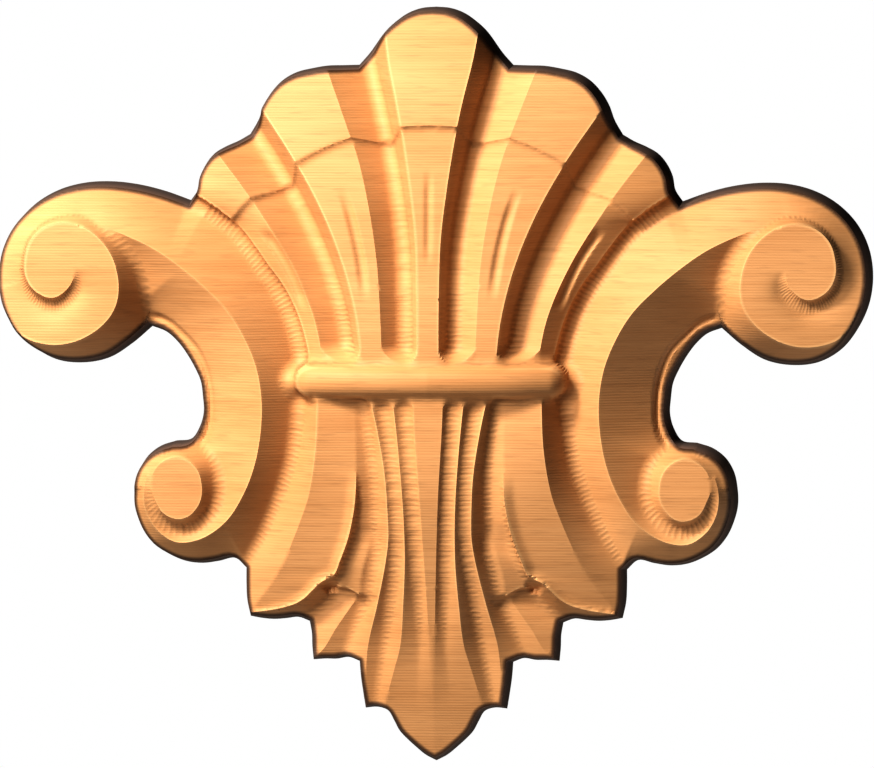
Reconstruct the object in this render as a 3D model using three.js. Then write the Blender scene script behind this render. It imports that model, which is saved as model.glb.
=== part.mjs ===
import * as THREE from 'three';

// Carved wooden cartouche ornament: a fluted shell over a leaf spray, held between two C-scrolls.
// Millimetres. Z is up, the carved face looks towards -Y, the flat back lies in the plane Y = 0
// and the origin is on that back, on the mirror line, level with the band across the waist.
// The carving is one height field: relief(x, z) is how far the face stands in front of the back.
// It is written for the right half, x >= 0, and mirrored.

// Sizes of the whole blank
const FLARE = 1.0;              // how far the side walls lean out between the face and the back
const EDGE_STEP = 2.1;          // spacing of points along the outline
const LINE_STEP = 2.2;          // spacing of points along the carved lines
const FIELD_STEP = 4.6;         // spacing of points in between
const WALL_RISE = 4.2;          // steepness of a carved step, height over width
const NEAR_WALL = 0.52;         // share of an outline edge that other points keep from its middle
const ROUNDS = 12;              // rounds of added points where the facets miss the carving most
const POINT_BUDGET = 2260;      // points of the right half of the face
const ROUND_BUDGET = 150;       // points added in one round
const CARVING_TOLERANCE = 0.08; // what a facet may miss the carving by
const CLOSEST = 0.6;            // nearest that two added points come
const LINE_CLOSEST = 0.45;      // nearest that two points of the carved lines come

// Right half of the outline at the back, from the crown down to the tip, one list per feature:
// each list is smooth and two lists meet in a corner
const OUTLINE = {
  crown: [[0, 87], [3.3, 86.7], [6.4, 85.6], [9.2, 83.7], [11.6, 81.5], [15.5, 76.2], [17.8, 73.6]],
  lobe1: [[17.8, 73.6], [21.5, 73.5], [25.1, 73.4], [28.7, 72.8], [32.3, 71.9], [35.5, 70.1],
    [38, 67.5], [39.9, 64.4], [41.2, 60.9], [43.1, 57.6]],
  lobe2: [[43.1, 57.6], [45.7, 56.1], [48.6, 54.8], [51.3, 53.2], [53.3, 50.8], [54.6, 48],
    [55.2, 44.9], [56.9, 42.3]],
  volute: [[56.9, 42.3], [62.8, 44.4], [68.9, 45.9], [75.1, 46.6], [81.4, 46.3], [87.4, 44.7],
    [92.8, 41.6], [97.1, 37.1], [99.8, 31.5], [100.7, 25.3], [99.9, 19.1], [97.4, 13.4],
    [93.6, 8.5], [88.2, 5.4], [82, 4.7], [75.9, 5.9], [70.6, 9.2], [65.9, 13.2]],
  bay: [[65.9, 13.2], [62.6, 11.9], [60, 9.6], [57.9, 6.8], [56.1, 3.7], [54.7, 0.5], [54.2, -3],
    [54, -6.6], [54.9, -10], [56.8, -12.8], [60.3, -13.3]],
  smallVolute: [[60.3, -13.3], [63.9, -14.5], [66.9, -16.8], [68.8, -20], [69.6, -23.8],
    [69.7, -27.6], [68.8, -31.3], [67.2, -34.8], [64.8, -37.7], [61.6, -39.8], [58, -41.2],
    [54.2, -41.6], [50.4, -41.1], [46.7, -40.4], [44.1, -42.6]],
  leafA: [[44.1, -42.6], [44.1, -46.4], [43.9, -50.1], [43.1, -53.8]],
  underA: [[43.1, -53.8], [40.3, -54.3], [37.6, -54.5], [34.8, -54.3], [32, -54], [29.4, -54.9]],
  leafC: [[29.4, -54.9], [28.9, -57.7], [28.8, -60.6], [28.5, -63.8]],
  underC: [[28.5, -63.8], [25.7, -63.6], [23, -63.6], [20.3, -63.2], [17.8, -64.1]],
  leafD: [[17.8, -64.1], [17.5, -67.7], [17, -71.2], [16.4, -74.9]],
  tip: [[16.4, -74.9], [13.5, -74.7], [11.2, -75.5], [9.8, -77.8], [8.5, -80.2], [6.6, -82.2],
    [4.6, -84], [2.5, -85.7], [0, -87]],
};

// Lines that run down the carving, x against z
const CENTRE_EDGE = [[4, 2.4], [22, 2.5], [34, 2.9], [46, 4.3], [58, 6.2], [66, 7.8], [74, 9.6],
  [82, 10.9]];
const FLUTE_1 = [[4, 10.6], [16, 11.1], [28, 11.9], [40, 13.7], [52, 16.5], [62, 20.1], [70, 23.1]];
const LOBE_1 = [[4, 15.2], [16, 16.7], [28, 19.8], [40, 24.7], [52, 31.4], [62, 38.1]];
const FLUTE_2 = [[4, 24.4], [16, 26.9], [28, 32.1], [40, 39.5], [46, 43.7], [52, 48.4]];
const EDGE_2 = [[2, 27.6], [7.7, 28.4], [11.6, 29.3], [16.2, 30.8], [20.2, 32.6], [24.3, 35.1],
  [27.8, 37.8], [31.2, 40.2], [37.3, 45.2], [40, 48.6], [46, 58]];
const VALLEY = [[-43, 44.3], [-39.6, 42.6], [-35.5, 40.1], [-26.2, 35.9], [-17, 32.4],
  [-7.8, 30.8], [0, 30.2], [7.4, 30.2], [13.3, 31.7], [19, 34], [24.3, 37.2], [29.1, 40.8],
  [33.6, 44.8], [37.7, 49.6], [40, 53], [42.5, 57]];
const STRIP = [[-72, 0.1], [-40, 1.4], [-26, 2.1], [-5, 3.35], [5, 3.4]];
const RIDGE_1 = [[-80, 13], [-72, 10.8], [-65, 8.8], [-60, 7.4], [-50, 6.4], [-40, 5.8], [-30, 5.9],
  [-20, 6.5], [-10, 7.4], [0, 8.5]];
const RIDGE_2 = [[-74, 15.9], [-65, 15.5], [-60, 15], [-50, 12.5], [-40, 10.3], [-35, 9.6],
  [-30, 9.6], [-20, 10.2], [-10, 11.8], [0, 14]];
const LEAF_EDGE = [[-52.5, 42.5], [-51.9, 38], [-51.3, 35], [-50.3, 31.8], [-49, 29.6],
  [-47, 27.5], [-45, 25.3], [-43.6, 22.6], [-40, 20.9], [-35, 19], [-30, 17.8], [-25, 17.1],
  [-10, 17.1], [0, 17.4]];
const LEAF_RIDGE = [[-52.9, 42.9], [-50, 40.7], [-45, 36.8], [-40, 33.9], [-35, 31.7], [-30, 29.7],
  [-25, 28], [-15, 26.3], [-5, 25.8], [2, 25.8]];
const B_RIDGE = [[-48.1, 16.9], [-43.5, 16.3], [-40, 15.3], [-35, 13.9]];
const B_LOWER = [[16.9, -48.1], [19.5, -46.7], [24, -46.1]];      // z against x
const C_RIDGE = [[-62.8, 27.5], [-61, 25.6], [-56.3, 22.7], [-52.8, 20.3], [-48.4, 17.2]];

// Heights of the shell lobes against the distance from the middle of the band
const CENTRE_H = [[0, 21.6], [20, 21.6], [40, 20.6], [60, 18.8], [70, 16.4], [80, 12.4], [87, 9]];
const LOBE_1_H = [[0, 20.4], [20, 20.2], [40, 18.8], [50, 17.2], [60, 15.4], [70, 13], [77.5, 11]];
const LOBE_2_H = [[20, 15.6], [28, 15.4], [40, 14.6], [50, 14], [60, 13], [68, 11], [74, 8.6]];
const EDGE_DROP = [[4, 2.6], [20, 2.6], [30, 2.4], [37, 2.8], [42, 3.6], [57, 3.6]];
const FLUTE_RISE = 1.4;         // steepness of a flute's walls, height over width
const FLUTE_CUTTER = 3;         // radius of a flute's round bottom
const FLUTE_END = 5.6;          // z where the flutes stop above the band
const FLUTE_END_RADIUS = 4;
const TIER_RADIUS = 60;         // step between the shell's two tiers, from the band's middle
const TIER_DIP = 4;             // how far the step comes in inside a flute
const TIER_RISE = 0.6;
const TIER_RAMP = 0.7;          // width of that step
const TIER_FADE = 1.5;          // over this width the step runs out beside the scroll

// Heights of the lines in the leaf spray, against z
const VALLEY_H = [[-43, 7], [-30, 8.2], [-20, 9], [-8, 9.4], [0, 8.8], [7, 7.4], [19, 6.2],
  [30, 6], [42.5, 6.4]];
const STRIP_H = [[-87, 4.2], [-72, 8.3], [-60, 11.3], [-50, 13.8], [-40, 16.5], [-25, 20],
  [-5, 21.6], [5, 21.6]];
const VALLEY_1_DROP = [[-74, 0.2], [-60, 0.9], [-45, 2], [-30, 3], [-5, 3.2]];
const RIDGE_1_H = [[-80, 5.4], [-73, 7.6], [-65, 9.6], [-55, 12.6], [-40, 16.6], [-25, 19.4],
  [-5, 20.8]];
const VALLEY_2_DROP = [[-74, 0.5], [-60, 1.2], [-45, 2], [-30, 2.2], [-5, 2.2]];
const RIDGE_2_H = [[-74, 6.8], [-66, 8], [-58, 9.6], [-50, 12], [-38, 15.8], [-25, 18.6],
  [-5, 19.8]];
const VALLEY_3_H = [[-62, 7.4], [-50, 9.2], [-44, 10.4], [-35, 12.6], [-20, 15], [-5, 16.2]];
const LEAF_EDGE_H = [[-52.5, 7.9], [-50, 10], [-47, 11.4], [-44, 12.6], [-35, 14.8],
  [-25, 16.4], [-15, 17], [0, 16.8]];
const LEAF_RIDGE_H = [[-53, 7.6], [-45, 10.6], [-40, 12.4], [-28, 15.6], [-12, 18], [-3, 17.8],
  [0, 17.5]];
const B_RIDGE_H = [[-48.1, 9.9], [-40, 12.4], [-35, 13]];
const C_RIDGE_H = [[-63, 7.4], [-52, 8.9], [-48, 9.2]];
const B_SIDE_DROP = 1.2;
const C_SIDE_DROP = 1.5;
const C_SIDE_WIDTH = 8;
const BEVEL_WIDTH = 2.1;        // raised border of the outer leaf
const BEVEL_RISE = 0.9;
const LEAF_LOW = -52.5;         // z where the outer leaf ends
const B_TOP = -31;              // z where the second leaf starts, fading in down to B_FULL
const B_FULL = -38;
const SPLIT_LOW = -66;          // below this only the middle of the spray is left
const SCROLL_LOW = -43;         // z where the scroll ends

// Half-round band across the waist
const BAND_Z = 1.3;
const BAND_HALF_WIDTH = 3.7;
const BAND_STRAIGHT = 27.6;
const BAND_RISE = 3.6;
const BAND_H = [[0, 24.2], [10, 23.7], [20, 22.2], [27, 20], [31.5, 18]];

// Big volute: a step that winds once and a third round the eye; the angle counts from outwards
const BIG_EYE = [87.4, 26.7];
const BIG_TURN = [[175, 5.8], [230, 6], [262, 6.4], [300, 5.9], [350, 5.7], [390, 6.4], [420, 8.2],
  [450, 10.3], [480, 12.1], [510, 13.7], [540, 15.5], [570, 17.4], [600, 18.1], [630, 17.6],
  [650, 16.4]];
const BIG_TOP_H = 19.8;
const BIG_FOOT_H = [[180, 19.8], [195, 18.8], [220, 16.4], [262, 14.8], [300, 15.6], [340, 17.2],
  [400, 17.6], [450, 17.4], [480, 17]];
const SECOND_RIM_H = [[175, 19.8], [240, 19.4], [290, 18.8]];
const ROUNDNESS = [[175, 4], [240, 3.4], [290, 2.6], [340, 1.5], [390, 1.1], [430, 1]];
const BIG_END = 290;            // angle below which a second turn lies outside the first
const BIG_RUN_OUT = 478;        // angle where the step's foot becomes the arm's crest
const BIG_REACH = 30;

// Small volute, the other way round
const SMALL_EYE = [58.4, -23.3];
const SMALL_TURN = [[-360, 9.6], [-342, 8.8], [-313, 7.8], [-270, 6.9], [-225, 6.2], [-185, 5.8],
  [-140, 6.6], [-100, 7.7], [-64, 7], [-31, 5.8], [0, 6]];
const SMALL_TOP_H = 16;
const SMALL_START = -342;       // angle where the step's foot begins
const SMALL_REACH = 14;

// Crest of the C-scroll between the two volutes, as x, z and height
const CREST = [[81.4, 37.2, 17], [76, 36.6, 17], [70.2, 34.6, 17], [63.5, 31.4, 17],
  [57.4, 27.2, 17], [51.7, 22.4, 17], [46.5, 17.1, 17], [42.6, 10.8, 16.9], [39.9, 3.9, 16.8],
  [38.8, -3.4, 16.6], [39.1, -10.8, 16.3], [40.5, -18.1, 15.9], [43.2, -25, 15.3],
  [47.3, -31.2, 14.6], [53.3, -35.3, 14], [59, -36, 13.8], [63.5, -33, 14], [66, -28, 14.7],
  [66.9, -21, 15.7]];
// Low line inside the scroll: foot of the big volute, rim of the bay, foot of the small eye
const INNER = [[81.4, 37.2, 17], [77.3, 35.2, 13.6], [73.9, 31.6, 10.6], [71.9, 26.7, 8.6],
  [71.5, 20.9, 7.4], [73.8, 15.3, 6.8], [78.3, 9.6, 6.6], [84.3, 7.6, 7.2], [89, 8.6, 8.4]];
const BAY_RIM = [[71, 10.6, 6.6], [65.9, 14.4, 6.6], [62, 13, 6.6], [59.2, 10.3, 6.6],
  [57, 7.3, 6.7], [55.1, 4, 6.8], [53.7, 0.8, 6.8], [53.1, -3, 6.8], [52.9, -6.7, 6.8],
  [53.8, -10.6, 6.8], [56, -13.8, 7], [60.3, -14.4, 7.2], [63.6, -15.6, 7.6], [66.4, -17.8, 9]];
const SMALL_FOOT_H = [[-342, 8.4], [-313, 8], [-270, 8], [-225, 8.4], [-185, 9], [-140, 9.6],
  [-100, 10.2], [-64, 11.2], [-31, 13.2], [0, 15.8]];
// Outer line of the scroll where it is not the valley: rims of the two volutes
const TOP_RIM = [[57, 41.4, 6.4], [62.9, 43.4, 8.4], [69, 44.9, 10.2], [75.1, 45.6, 11.4],
  [81.3, 45.3, 12], [87, 43.7, 12.2], [92.1, 40.8, 12.6], [96.2, 36.5, 13.4], [98.8, 31.3, 14.2],
  [99.7, 25.3, 15], [98.9, 19.4, 16], [96.5, 14, 17.4], [92.9, 9.5, 18.8]];
const LOW_RIM = [[44.9, -41, 7], [50.3, -40.1, 7.8], [54.2, -40.6, 8.2], [57.8, -40.2, 8.6],
  [61.1, -38.9, 9], [64.1, -37, 9.6], [66.3, -34.3, 10.4], [67.8, -31, 11.4], [68.7, -27.5, 12.6],
  [68.6, -24, 14], [67.9, -20.6, 15.2]];

const RAD = Math.PI / 180;
const clamp = (v, lo, hi) => Math.min(Math.max(v, lo), hi);
const mix = (a, b, t) => a + (b - a) * t;
const smoothStep = (v, low, top) => {
  const t = clamp((v - low) / (top - low), 0, 1);
  return t * t * (3 - 2 * t);
};

/** A smooth function through stations [at, value], running straight on past both ends. */
function smooth(stations) {
  const at = stations.map((s) => s[0]);
  const value = stations.map((s) => s[1]);
  const chord = at.slice(1).map((a, i) => (value[i + 1] - value[i]) / (a - at[i]));
  const slope = at.map((_, i) => {
    if (i === 0) return chord[0];
    if (i === at.length - 1) return chord[i - 1];
    return (chord[i - 1] + chord[i]) / 2;
  });
  return (v) => {
    const last = at.length - 1;
    if (v <= at[0]) return value[0] + slope[0] * (v - at[0]);
    if (v >= at[last]) return value[last] + slope[last] * (v - at[last]);
    let i = 0;
    while (v > at[i + 1]) i += 1;
    const w = at[i + 1] - at[i];
    const t = (v - at[i]) / w;
    const h00 = (1 + 2 * t) * (1 - t) ** 2;
    const h10 = t * (1 - t) ** 2;
    const h01 = t * t * (3 - 2 * t);
    const h11 = t * t * (t - 1);
    return h00 * value[i] + h10 * w * slope[i] + h01 * value[i + 1] + h11 * w * slope[i + 1];
  };
}

/** The same, but level past both ends. */
function levelled(stations) {
  const inside = smooth(stations);
  return (v) => inside(clamp(v, stations[0][0], stations[stations.length - 1][0]));
}

/** Points at even spacing along a smooth path through knots of any number of coordinates. */
function path(knots, step) {
  const along = [0];
  for (let i = 1; i < knots.length; i += 1) {
    along.push(along[i - 1] + Math.hypot(knots[i][0] - knots[i - 1][0], knots[i][1] - knots[i - 1][1]));
  }
  const parts = knots[0].map((_, k) => smooth(knots.map((p, i) => [along[i], p[k]])));
  const total = along[along.length - 1];
  const count = Math.max(2, Math.round(total / step));
  return Array.from({ length: count + 1 }, (_, i) => parts.map((f) => f((total * i) / count)));
}

/** Nearest place on a polyline: distance, interpolated height and side (negative to its right). */
function nearest(line, x, z) {
  let best = { distance: Infinity, height: 0, side: 0 };
  for (let i = 0; i + 1 < line.length; i += 1) {
    const [ax, az, ah] = line[i];
    const [bx, bz, bh] = line[i + 1];
    const ux = bx - ax;
    const uz = bz - az;
    const t = clamp(((x - ax) * ux + (z - az) * uz) / (ux * ux + uz * uz), 0, 1);
    const dx = x - ax - t * ux;
    const dz = z - az - t * uz;
    const distance = Math.hypot(dx, dz);
    if (distance < best.distance) {
      best = { distance, height: mix(ah, bh, t), side: ux * (z - az) - uz * (x - ax) };
    }
  }
  return best;
}

const rib = Object.fromEntries(Object.entries({
  centre: CENTRE_EDGE, flute1: FLUTE_1, lobe1: LOBE_1, flute2: FLUTE_2, strip: STRIP,
  ridge1: RIDGE_1, ridge2: RIDGE_2, leafRidge: LEAF_RIDGE, bRidge: B_RIDGE, cRidge: C_RIDGE,
}).map(([name, stations]) => [name, smooth(stations)]));
rib.valley = levelled(VALLEY);
rib.leafEdge = levelled(LEAF_EDGE);
rib.edge2 = levelled(EDGE_2);
const high = Object.fromEntries(Object.entries({
  centre: CENTRE_H, lobe1: LOBE_1_H, lobe2: LOBE_2_H, valley: VALLEY_H, strip: STRIP_H,
  drop1: VALLEY_1_DROP, ridge1: RIDGE_1_H, drop2: VALLEY_2_DROP, ridge2: RIDGE_2_H,
  valley3: VALLEY_3_H, leafEdge: LEAF_EDGE_H, leafRidge: LEAF_RIDGE_H, bRidge: B_RIDGE_H,
  cRidge: C_RIDGE_H, band: BAND_H, bigFoot: BIG_FOOT_H, secondRim: SECOND_RIM_H,
  roundness: ROUNDNESS, smallFoot: SMALL_FOOT_H, edgeDrop: EDGE_DROP,
}).map(([name, stations]) => [name, levelled(stations)]));
const bLower = levelled(B_LOWER);
const bigTurn = levelled(BIG_TURN);
const smallTurn = levelled(SMALL_TURN);

/** A point of a volute's step: around an eye at an angle in degrees, set out by an offset. */
function onTurn(eye, turn, angle, offset = 0) {
  const r = turn(angle) + offset;
  return [eye[0] + r * Math.cos(angle * RAD), eye[1] + r * Math.sin(angle * RAD)];
}

/** Points of a volute's step between two angles. */
function turnPath(eye, turn, from, to, step, offset = () => 0) {
  const count = Math.max(2, Math.round((Math.abs(to - from) * RAD * turn((from + to) / 2)) / step));
  return Array.from({ length: count + 1 }, (_, i) => {
    const angle = mix(from, to, i / count);
    return onTurn(eye, turn, angle, offset(angle));
  });
}

const valleyLine = path(VALLEY.map(([z, x]) => [x, z, high.valley(z)]).reverse(), 1);
const crestLine = [
  ...turnPath(BIG_EYE, bigTurn, BIG_END, BIG_RUN_OUT, 1).map(([x, z], i, all) => [x, z,
    high.bigFoot(mix(BIG_END, BIG_RUN_OUT, i / (all.length - 1)))]),
  ...path(CREST, 1),
];
const outerLine = [...path(TOP_RIM, 1).reverse(), ...valleyLine, ...path(LOW_RIM, 1)];
const innerLines = [
  path(INNER, 1), path(BAY_RIM, 1),
  turnPath(SMALL_EYE, smallTurn, SMALL_START, 0, 1).map(([x, z], i, all) => [x, z,
    high.smallFoot(mix(SMALL_START, 0, i / (all.length - 1)))]),
];

/** x of the five carved lines of the shell at z, from the centre lobe's edge outwards. */
const shellRibs = (z) => [rib.centre(z), rib.flute1(z), rib.lobe1(z), rib.flute2(z),
  rib.edge2(z)];

/**
 * A flute's depth below the line between its two lobes, and how far in from its edges a place is
 * (1 on the axis). The walls are straight and a round bottom of the cutter's radius joins them;
 * the lower end is round in plan. inner is the number of the flute's inner edge.
 */
function hollow(x, z, inner) {
  const axis = (at) => (shellRibs(at)[inner] + shellRibs(at)[inner + 1]) / 2;
  const centre = axis(z);
  const square = 1 / Math.hypot(1, axis(z + 1) - centre);
  const edges = shellRibs(z);
  const w = ((edges[inner + 1] - edges[inner]) / 2) * square;
  const below = Math.max(0, FLUTE_END + FLUTE_END_RADIUS - z);
  const u = Math.hypot((x - centre) * square, (below * w) / FLUTE_END_RADIUS);
  const slant = Math.atan(FLUTE_RISE);
  const depth = u < FLUTE_CUTTER * Math.sin(slant)
    ? FLUTE_RISE * w - FLUTE_CUTTER / Math.cos(slant) + Math.sqrt(FLUTE_CUTTER ** 2 - u * u)
    : FLUTE_RISE * (w - u);
  return { depth: Math.max(0, depth), share: clamp(1 - u / w, 0, 1) };
}

/** Distance of the step between the two tiers from the band's middle, near a place. */
function tierLine(x, z) {
  return TIER_RADIUS - TIER_DIP * Math.min(1, hollow(x, z, 0).share + hollow(x, z, 2).share);
}

/** Height between neighbouring stations [x, height] of one cross-section. */
function section(stations, x) {
  let i = 0;
  while (i + 2 < stations.length && x > stations[i + 1][0]) i += 1;
  const [a, b] = [stations[i], stations[i + 1]];
  const t = clamp((x - a[0]) / Math.max(b[0] - a[0], 1e-3), 0, 1);
  return mix(a[1], b[1], t);
}

/** Height of the shell: three lobes to a side with flutes between them. */
function shell(x, z) {
  const r = Math.hypot(x, z);
  const edges = shellRibs(z);
  const tops = [high.centre(r), high.lobe1(r), high.lobe2(r)];
  const foot = rib.valley(z);
  const flute = (inner) => mix(tops[inner / 2], tops[inner / 2 + 1],
    (x - edges[inner]) / (edges[inner + 1] - edges[inner])) - hollow(x, z, inner).depth;
  let height;
  if (x < edges[0]) height = tops[0];
  else if (x < edges[1]) height = flute(0);
  else if (x < edges[2]) height = tops[1];
  else if (x < edges[3]) height = flute(2);
  else {
    height = section([[edges[3], tops[2]],
      [Math.min(edges[4], foot), tops[2] - high.edgeDrop(z)], [foot, high.valley(z)]], x);
  }
  return height + TIER_RISE * smoothStep(foot - x, 0, TIER_FADE)
    * smoothStep(r - tierLine(x, z), -TIER_RAMP / 2, TIER_RAMP / 2);
}

/** Height of the leaf spray below the band. */
function spray(x, z) {
  const strip = rib.strip(z);
  const r1 = rib.ridge1(z);
  const r2 = Math.max(rib.ridge2(z), r1 + 0.4);
  const h1 = high.ridge1(z);
  const h2 = high.ridge2(z);
  const edge = rib.leafEdge(z);
  if (z > LEAF_LOW && x > edge) {
    const ridge = rib.leafRidge(z);
    const top = high.leafRidge(z);
    const outside = Math.max(rib.valley(z), ridge + 1);
    return section([[edge, high.leafEdge(z) + BEVEL_RISE * smoothStep(-z, 18, 26)],
      [Math.min(edge + BEVEL_WIDTH, mix(edge, ridge, 0.45)), mix(high.leafEdge(z), top, 0.3)],
      [ridge, top], [outside, Math.min(high.valley(z), top - 1)]], x);
  }
  const half = Math.max(strip, 0.05);
  const inner = [[0, high.strip(z)], [half, high.strip(z)],
    [mix(half, r1, 0.35), high.strip(z) - high.drop1(z)], [r1, h1],
    [mix(r1, r2, 0.5), Math.min(h1, h2) - high.drop2(z)], [r2, h2]];
  if (x <= r2 || z < SPLIT_LOW) return section(inner, Math.min(x, r2));
  if (z > bLower(x)) {
    const b = clamp(rib.bRidge(z), r2 + 1.6, edge);
    const plain = section([[r2, h2], [mix(r2, edge, 0.6), high.valley3(z)],
      [edge, high.valley3(z) + 0.6]], x);
    const split = section([[r2, h2], [mix(r2, b, 0.5), high.valley3(z)], [b, high.bRidge(z)],
      [Math.max(edge, b + 1), high.bRidge(z) - B_SIDE_DROP]], x);
    return mix(plain, split, smoothStep(-z, -B_TOP, -B_FULL));
  }
  const c = Math.max(rib.cRidge(z), r2 + 0.6);
  return section([[r2, h2], [mix(r2, c, 0.5), Math.min(h2, high.cRidge(z)) - 1],
    [c, high.cRidge(z)], [c + C_SIDE_WIDTH, high.cRidge(z) - C_SIDE_DROP]], x);
}

/** Height of a C-scroll with its two volutes. */
function scroll(x, z) {
  const big = Math.hypot(x - BIG_EYE[0], z - BIG_EYE[1]);
  let angle = Math.atan2(z - BIG_EYE[1], x - BIG_EYE[0]) / RAD + 360;
  if (angle < 180) angle += 360;
  const second = angle < BIG_END;
  const foot = bigTurn(angle);
  const edge = second ? bigTurn(angle + 360) : foot;
  if (big < edge) {
    if (!second || big < foot) return BIG_TOP_H;
    const t = (big - foot) / (edge - foot);
    const band = mix(high.secondRim(angle), high.bigFoot(angle), (1 - t) ** high.roundness(angle));
    return Math.max(band, BIG_TOP_H - WALL_RISE * (big - foot));
  }
  const small = Math.hypot(x - SMALL_EYE[0], z - SMALL_EYE[1]);
  let smallAngle = Math.atan2(z - SMALL_EYE[1], x - SMALL_EYE[0]) / RAD;
  if (smallAngle > 0) smallAngle -= 360;
  const eye = smallTurn(smallAngle);
  if (small < eye) return SMALL_TOP_H;

  const crest = nearest(crestLine, x, z);
  const outside = crest.side < 0;
  const other = outside ? nearest(outerLine, x, z) : innerLines
    .map((line) => nearest(line, x, z)).reduce((a, b) => (a.distance < b.distance ? a : b));
  const t = crest.distance / Math.max(crest.distance + other.distance, 1e-6);
  const bend = outside && big < BIG_REACH ? high.roundness(angle) : 1;
  let height = mix(other.height, crest.height, (1 - t) ** bend);
  if (big < BIG_REACH) {
    const top = second ? high.secondRim(angle) : BIG_TOP_H;
    height = Math.max(height, top - WALL_RISE * (big - edge));
  }
  if (small < SMALL_REACH) height = Math.max(height, SMALL_TOP_H - WALL_RISE * (small - eye));
  return height;
}

/** Height of the carved face in front of the back at any place of the right half. */
function relief(x, z) {
  let height;
  if (z > SCROLL_LOW && x > rib.valley(z)) height = scroll(x, z);
  else if (z > BAND_Z) height = shell(x, z);
  else height = spray(x, z);
  const off = Math.hypot(Math.max(0, x - BAND_STRAIGHT), z - BAND_Z) / BAND_HALF_WIDTH;
  if (off < 1) height = Math.max(height, high.band(x) - BAND_RISE * (1 - Math.sqrt(1 - off * off)));
  return height;
}

/** The closed half outline with corners kept, as points [x, z] from the crown to the tip. */
function outlinePoints() {
  const points = [];
  for (const knots of Object.values(OUTLINE)) {
    const run = path(knots, EDGE_STEP);
    points.push(...(points.length ? run.slice(1) : run));
  }
  points[0][0] = 0;
  points[points.length - 1][0] = 0;
  return points;
}

/** The outline moved inwards by the lean of the walls; the two ends stay on the mirror line. */
function insetPoints(points, by) {
  return points.map(([x, z], i) => {
    const before = i > 0 ? points[i - 1] : [-points[1][0], points[1][1]];
    const after = i + 1 < points.length ? points[i + 1] : [-points[i - 1][0], points[i - 1][1]];
    const a = new THREE.Vector2(x - before[0], z - before[1]).normalize();
    const b = new THREE.Vector2(after[0] - x, after[1] - z).normalize();
    const n = new THREE.Vector2(a.y + b.y, -a.x - b.x).normalize();
    const grow = Math.min(1 / Math.max(n.dot(new THREE.Vector2(a.y, -a.x)), 0.5), 1.6);
    return [i === 0 || i + 1 === points.length ? 0 : x + n.x * by * grow, z + n.y * by * grow];
  });
}

/** Whether a point lies inside a closed polygon. */
function inside(polygon, x, z) {
  let odd = false;
  for (let i = 0, j = polygon.length - 1; i < polygon.length; j = i, i += 1) {
    const [ax, az] = polygon[i];
    const [bx, bz] = polygon[j];
    if ((az > z) !== (bz > z) && x < ((bx - ax) * (z - az)) / (bz - az) + ax) odd = !odd;
  }
  return odd;
}

/** Delaunay triangles of points [x, z], by adding one point at a time. */
function delaunay(points) {
  const far = 4000;
  const all = [...points, [-far, -far], [far, -far], [0, far]];
  const n = points.length;
  const circle = (a, b, c) => {
    const [ax, az] = all[a];
    const bx = all[b][0] - ax;
    const bz = all[b][1] - az;
    const cx = all[c][0] - ax;
    const cz = all[c][1] - az;
    const d = 2 * (bx * cz - bz * cx);
    const ux = (cz * (bx * bx + bz * bz) - bz * (cx * cx + cz * cz)) / d;
    const uz = (bx * (cx * cx + cz * cz) - cx * (bx * bx + bz * bz)) / d;
    return { a, b, c, x: ax + ux, z: az + uz, rr: ux * ux + uz * uz };
  };
  let triangles = [circle(n, n + 1, n + 2)];
  for (let i = 0; i < n; i += 1) {
    const [x, z] = all[i];
    const edges = new Map();
    const kept = [];
    for (const t of triangles) {
      if ((x - t.x) ** 2 + (z - t.z) ** 2 < t.rr * (1 + 1e-12)) {
        for (const [p, q] of [[t.a, t.b], [t.b, t.c], [t.c, t.a]]) {
          const twin = `${q},${p}`;
          if (edges.has(twin)) edges.delete(twin);
          else edges.set(`${p},${q}`, [p, q]);
        }
      } else kept.push(t);
    }
    for (const [p, q] of edges.values()) kept.push(circle(p, q, i));
    triangles = kept;
  }
  return triangles.filter((t) => t.a < n && t.b < n && t.c < n).map((t) => [t.a, t.b, t.c]);
}

/** Points of a line stored as x against z, between two places of z. */
function ribPath(f, low, top) {
  return path([0, 0.25, 0.5, 0.75, 1].map((t) => mix(low, top, t)).map((z) => [f(z), z]),
    LINE_STEP);
}

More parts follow.
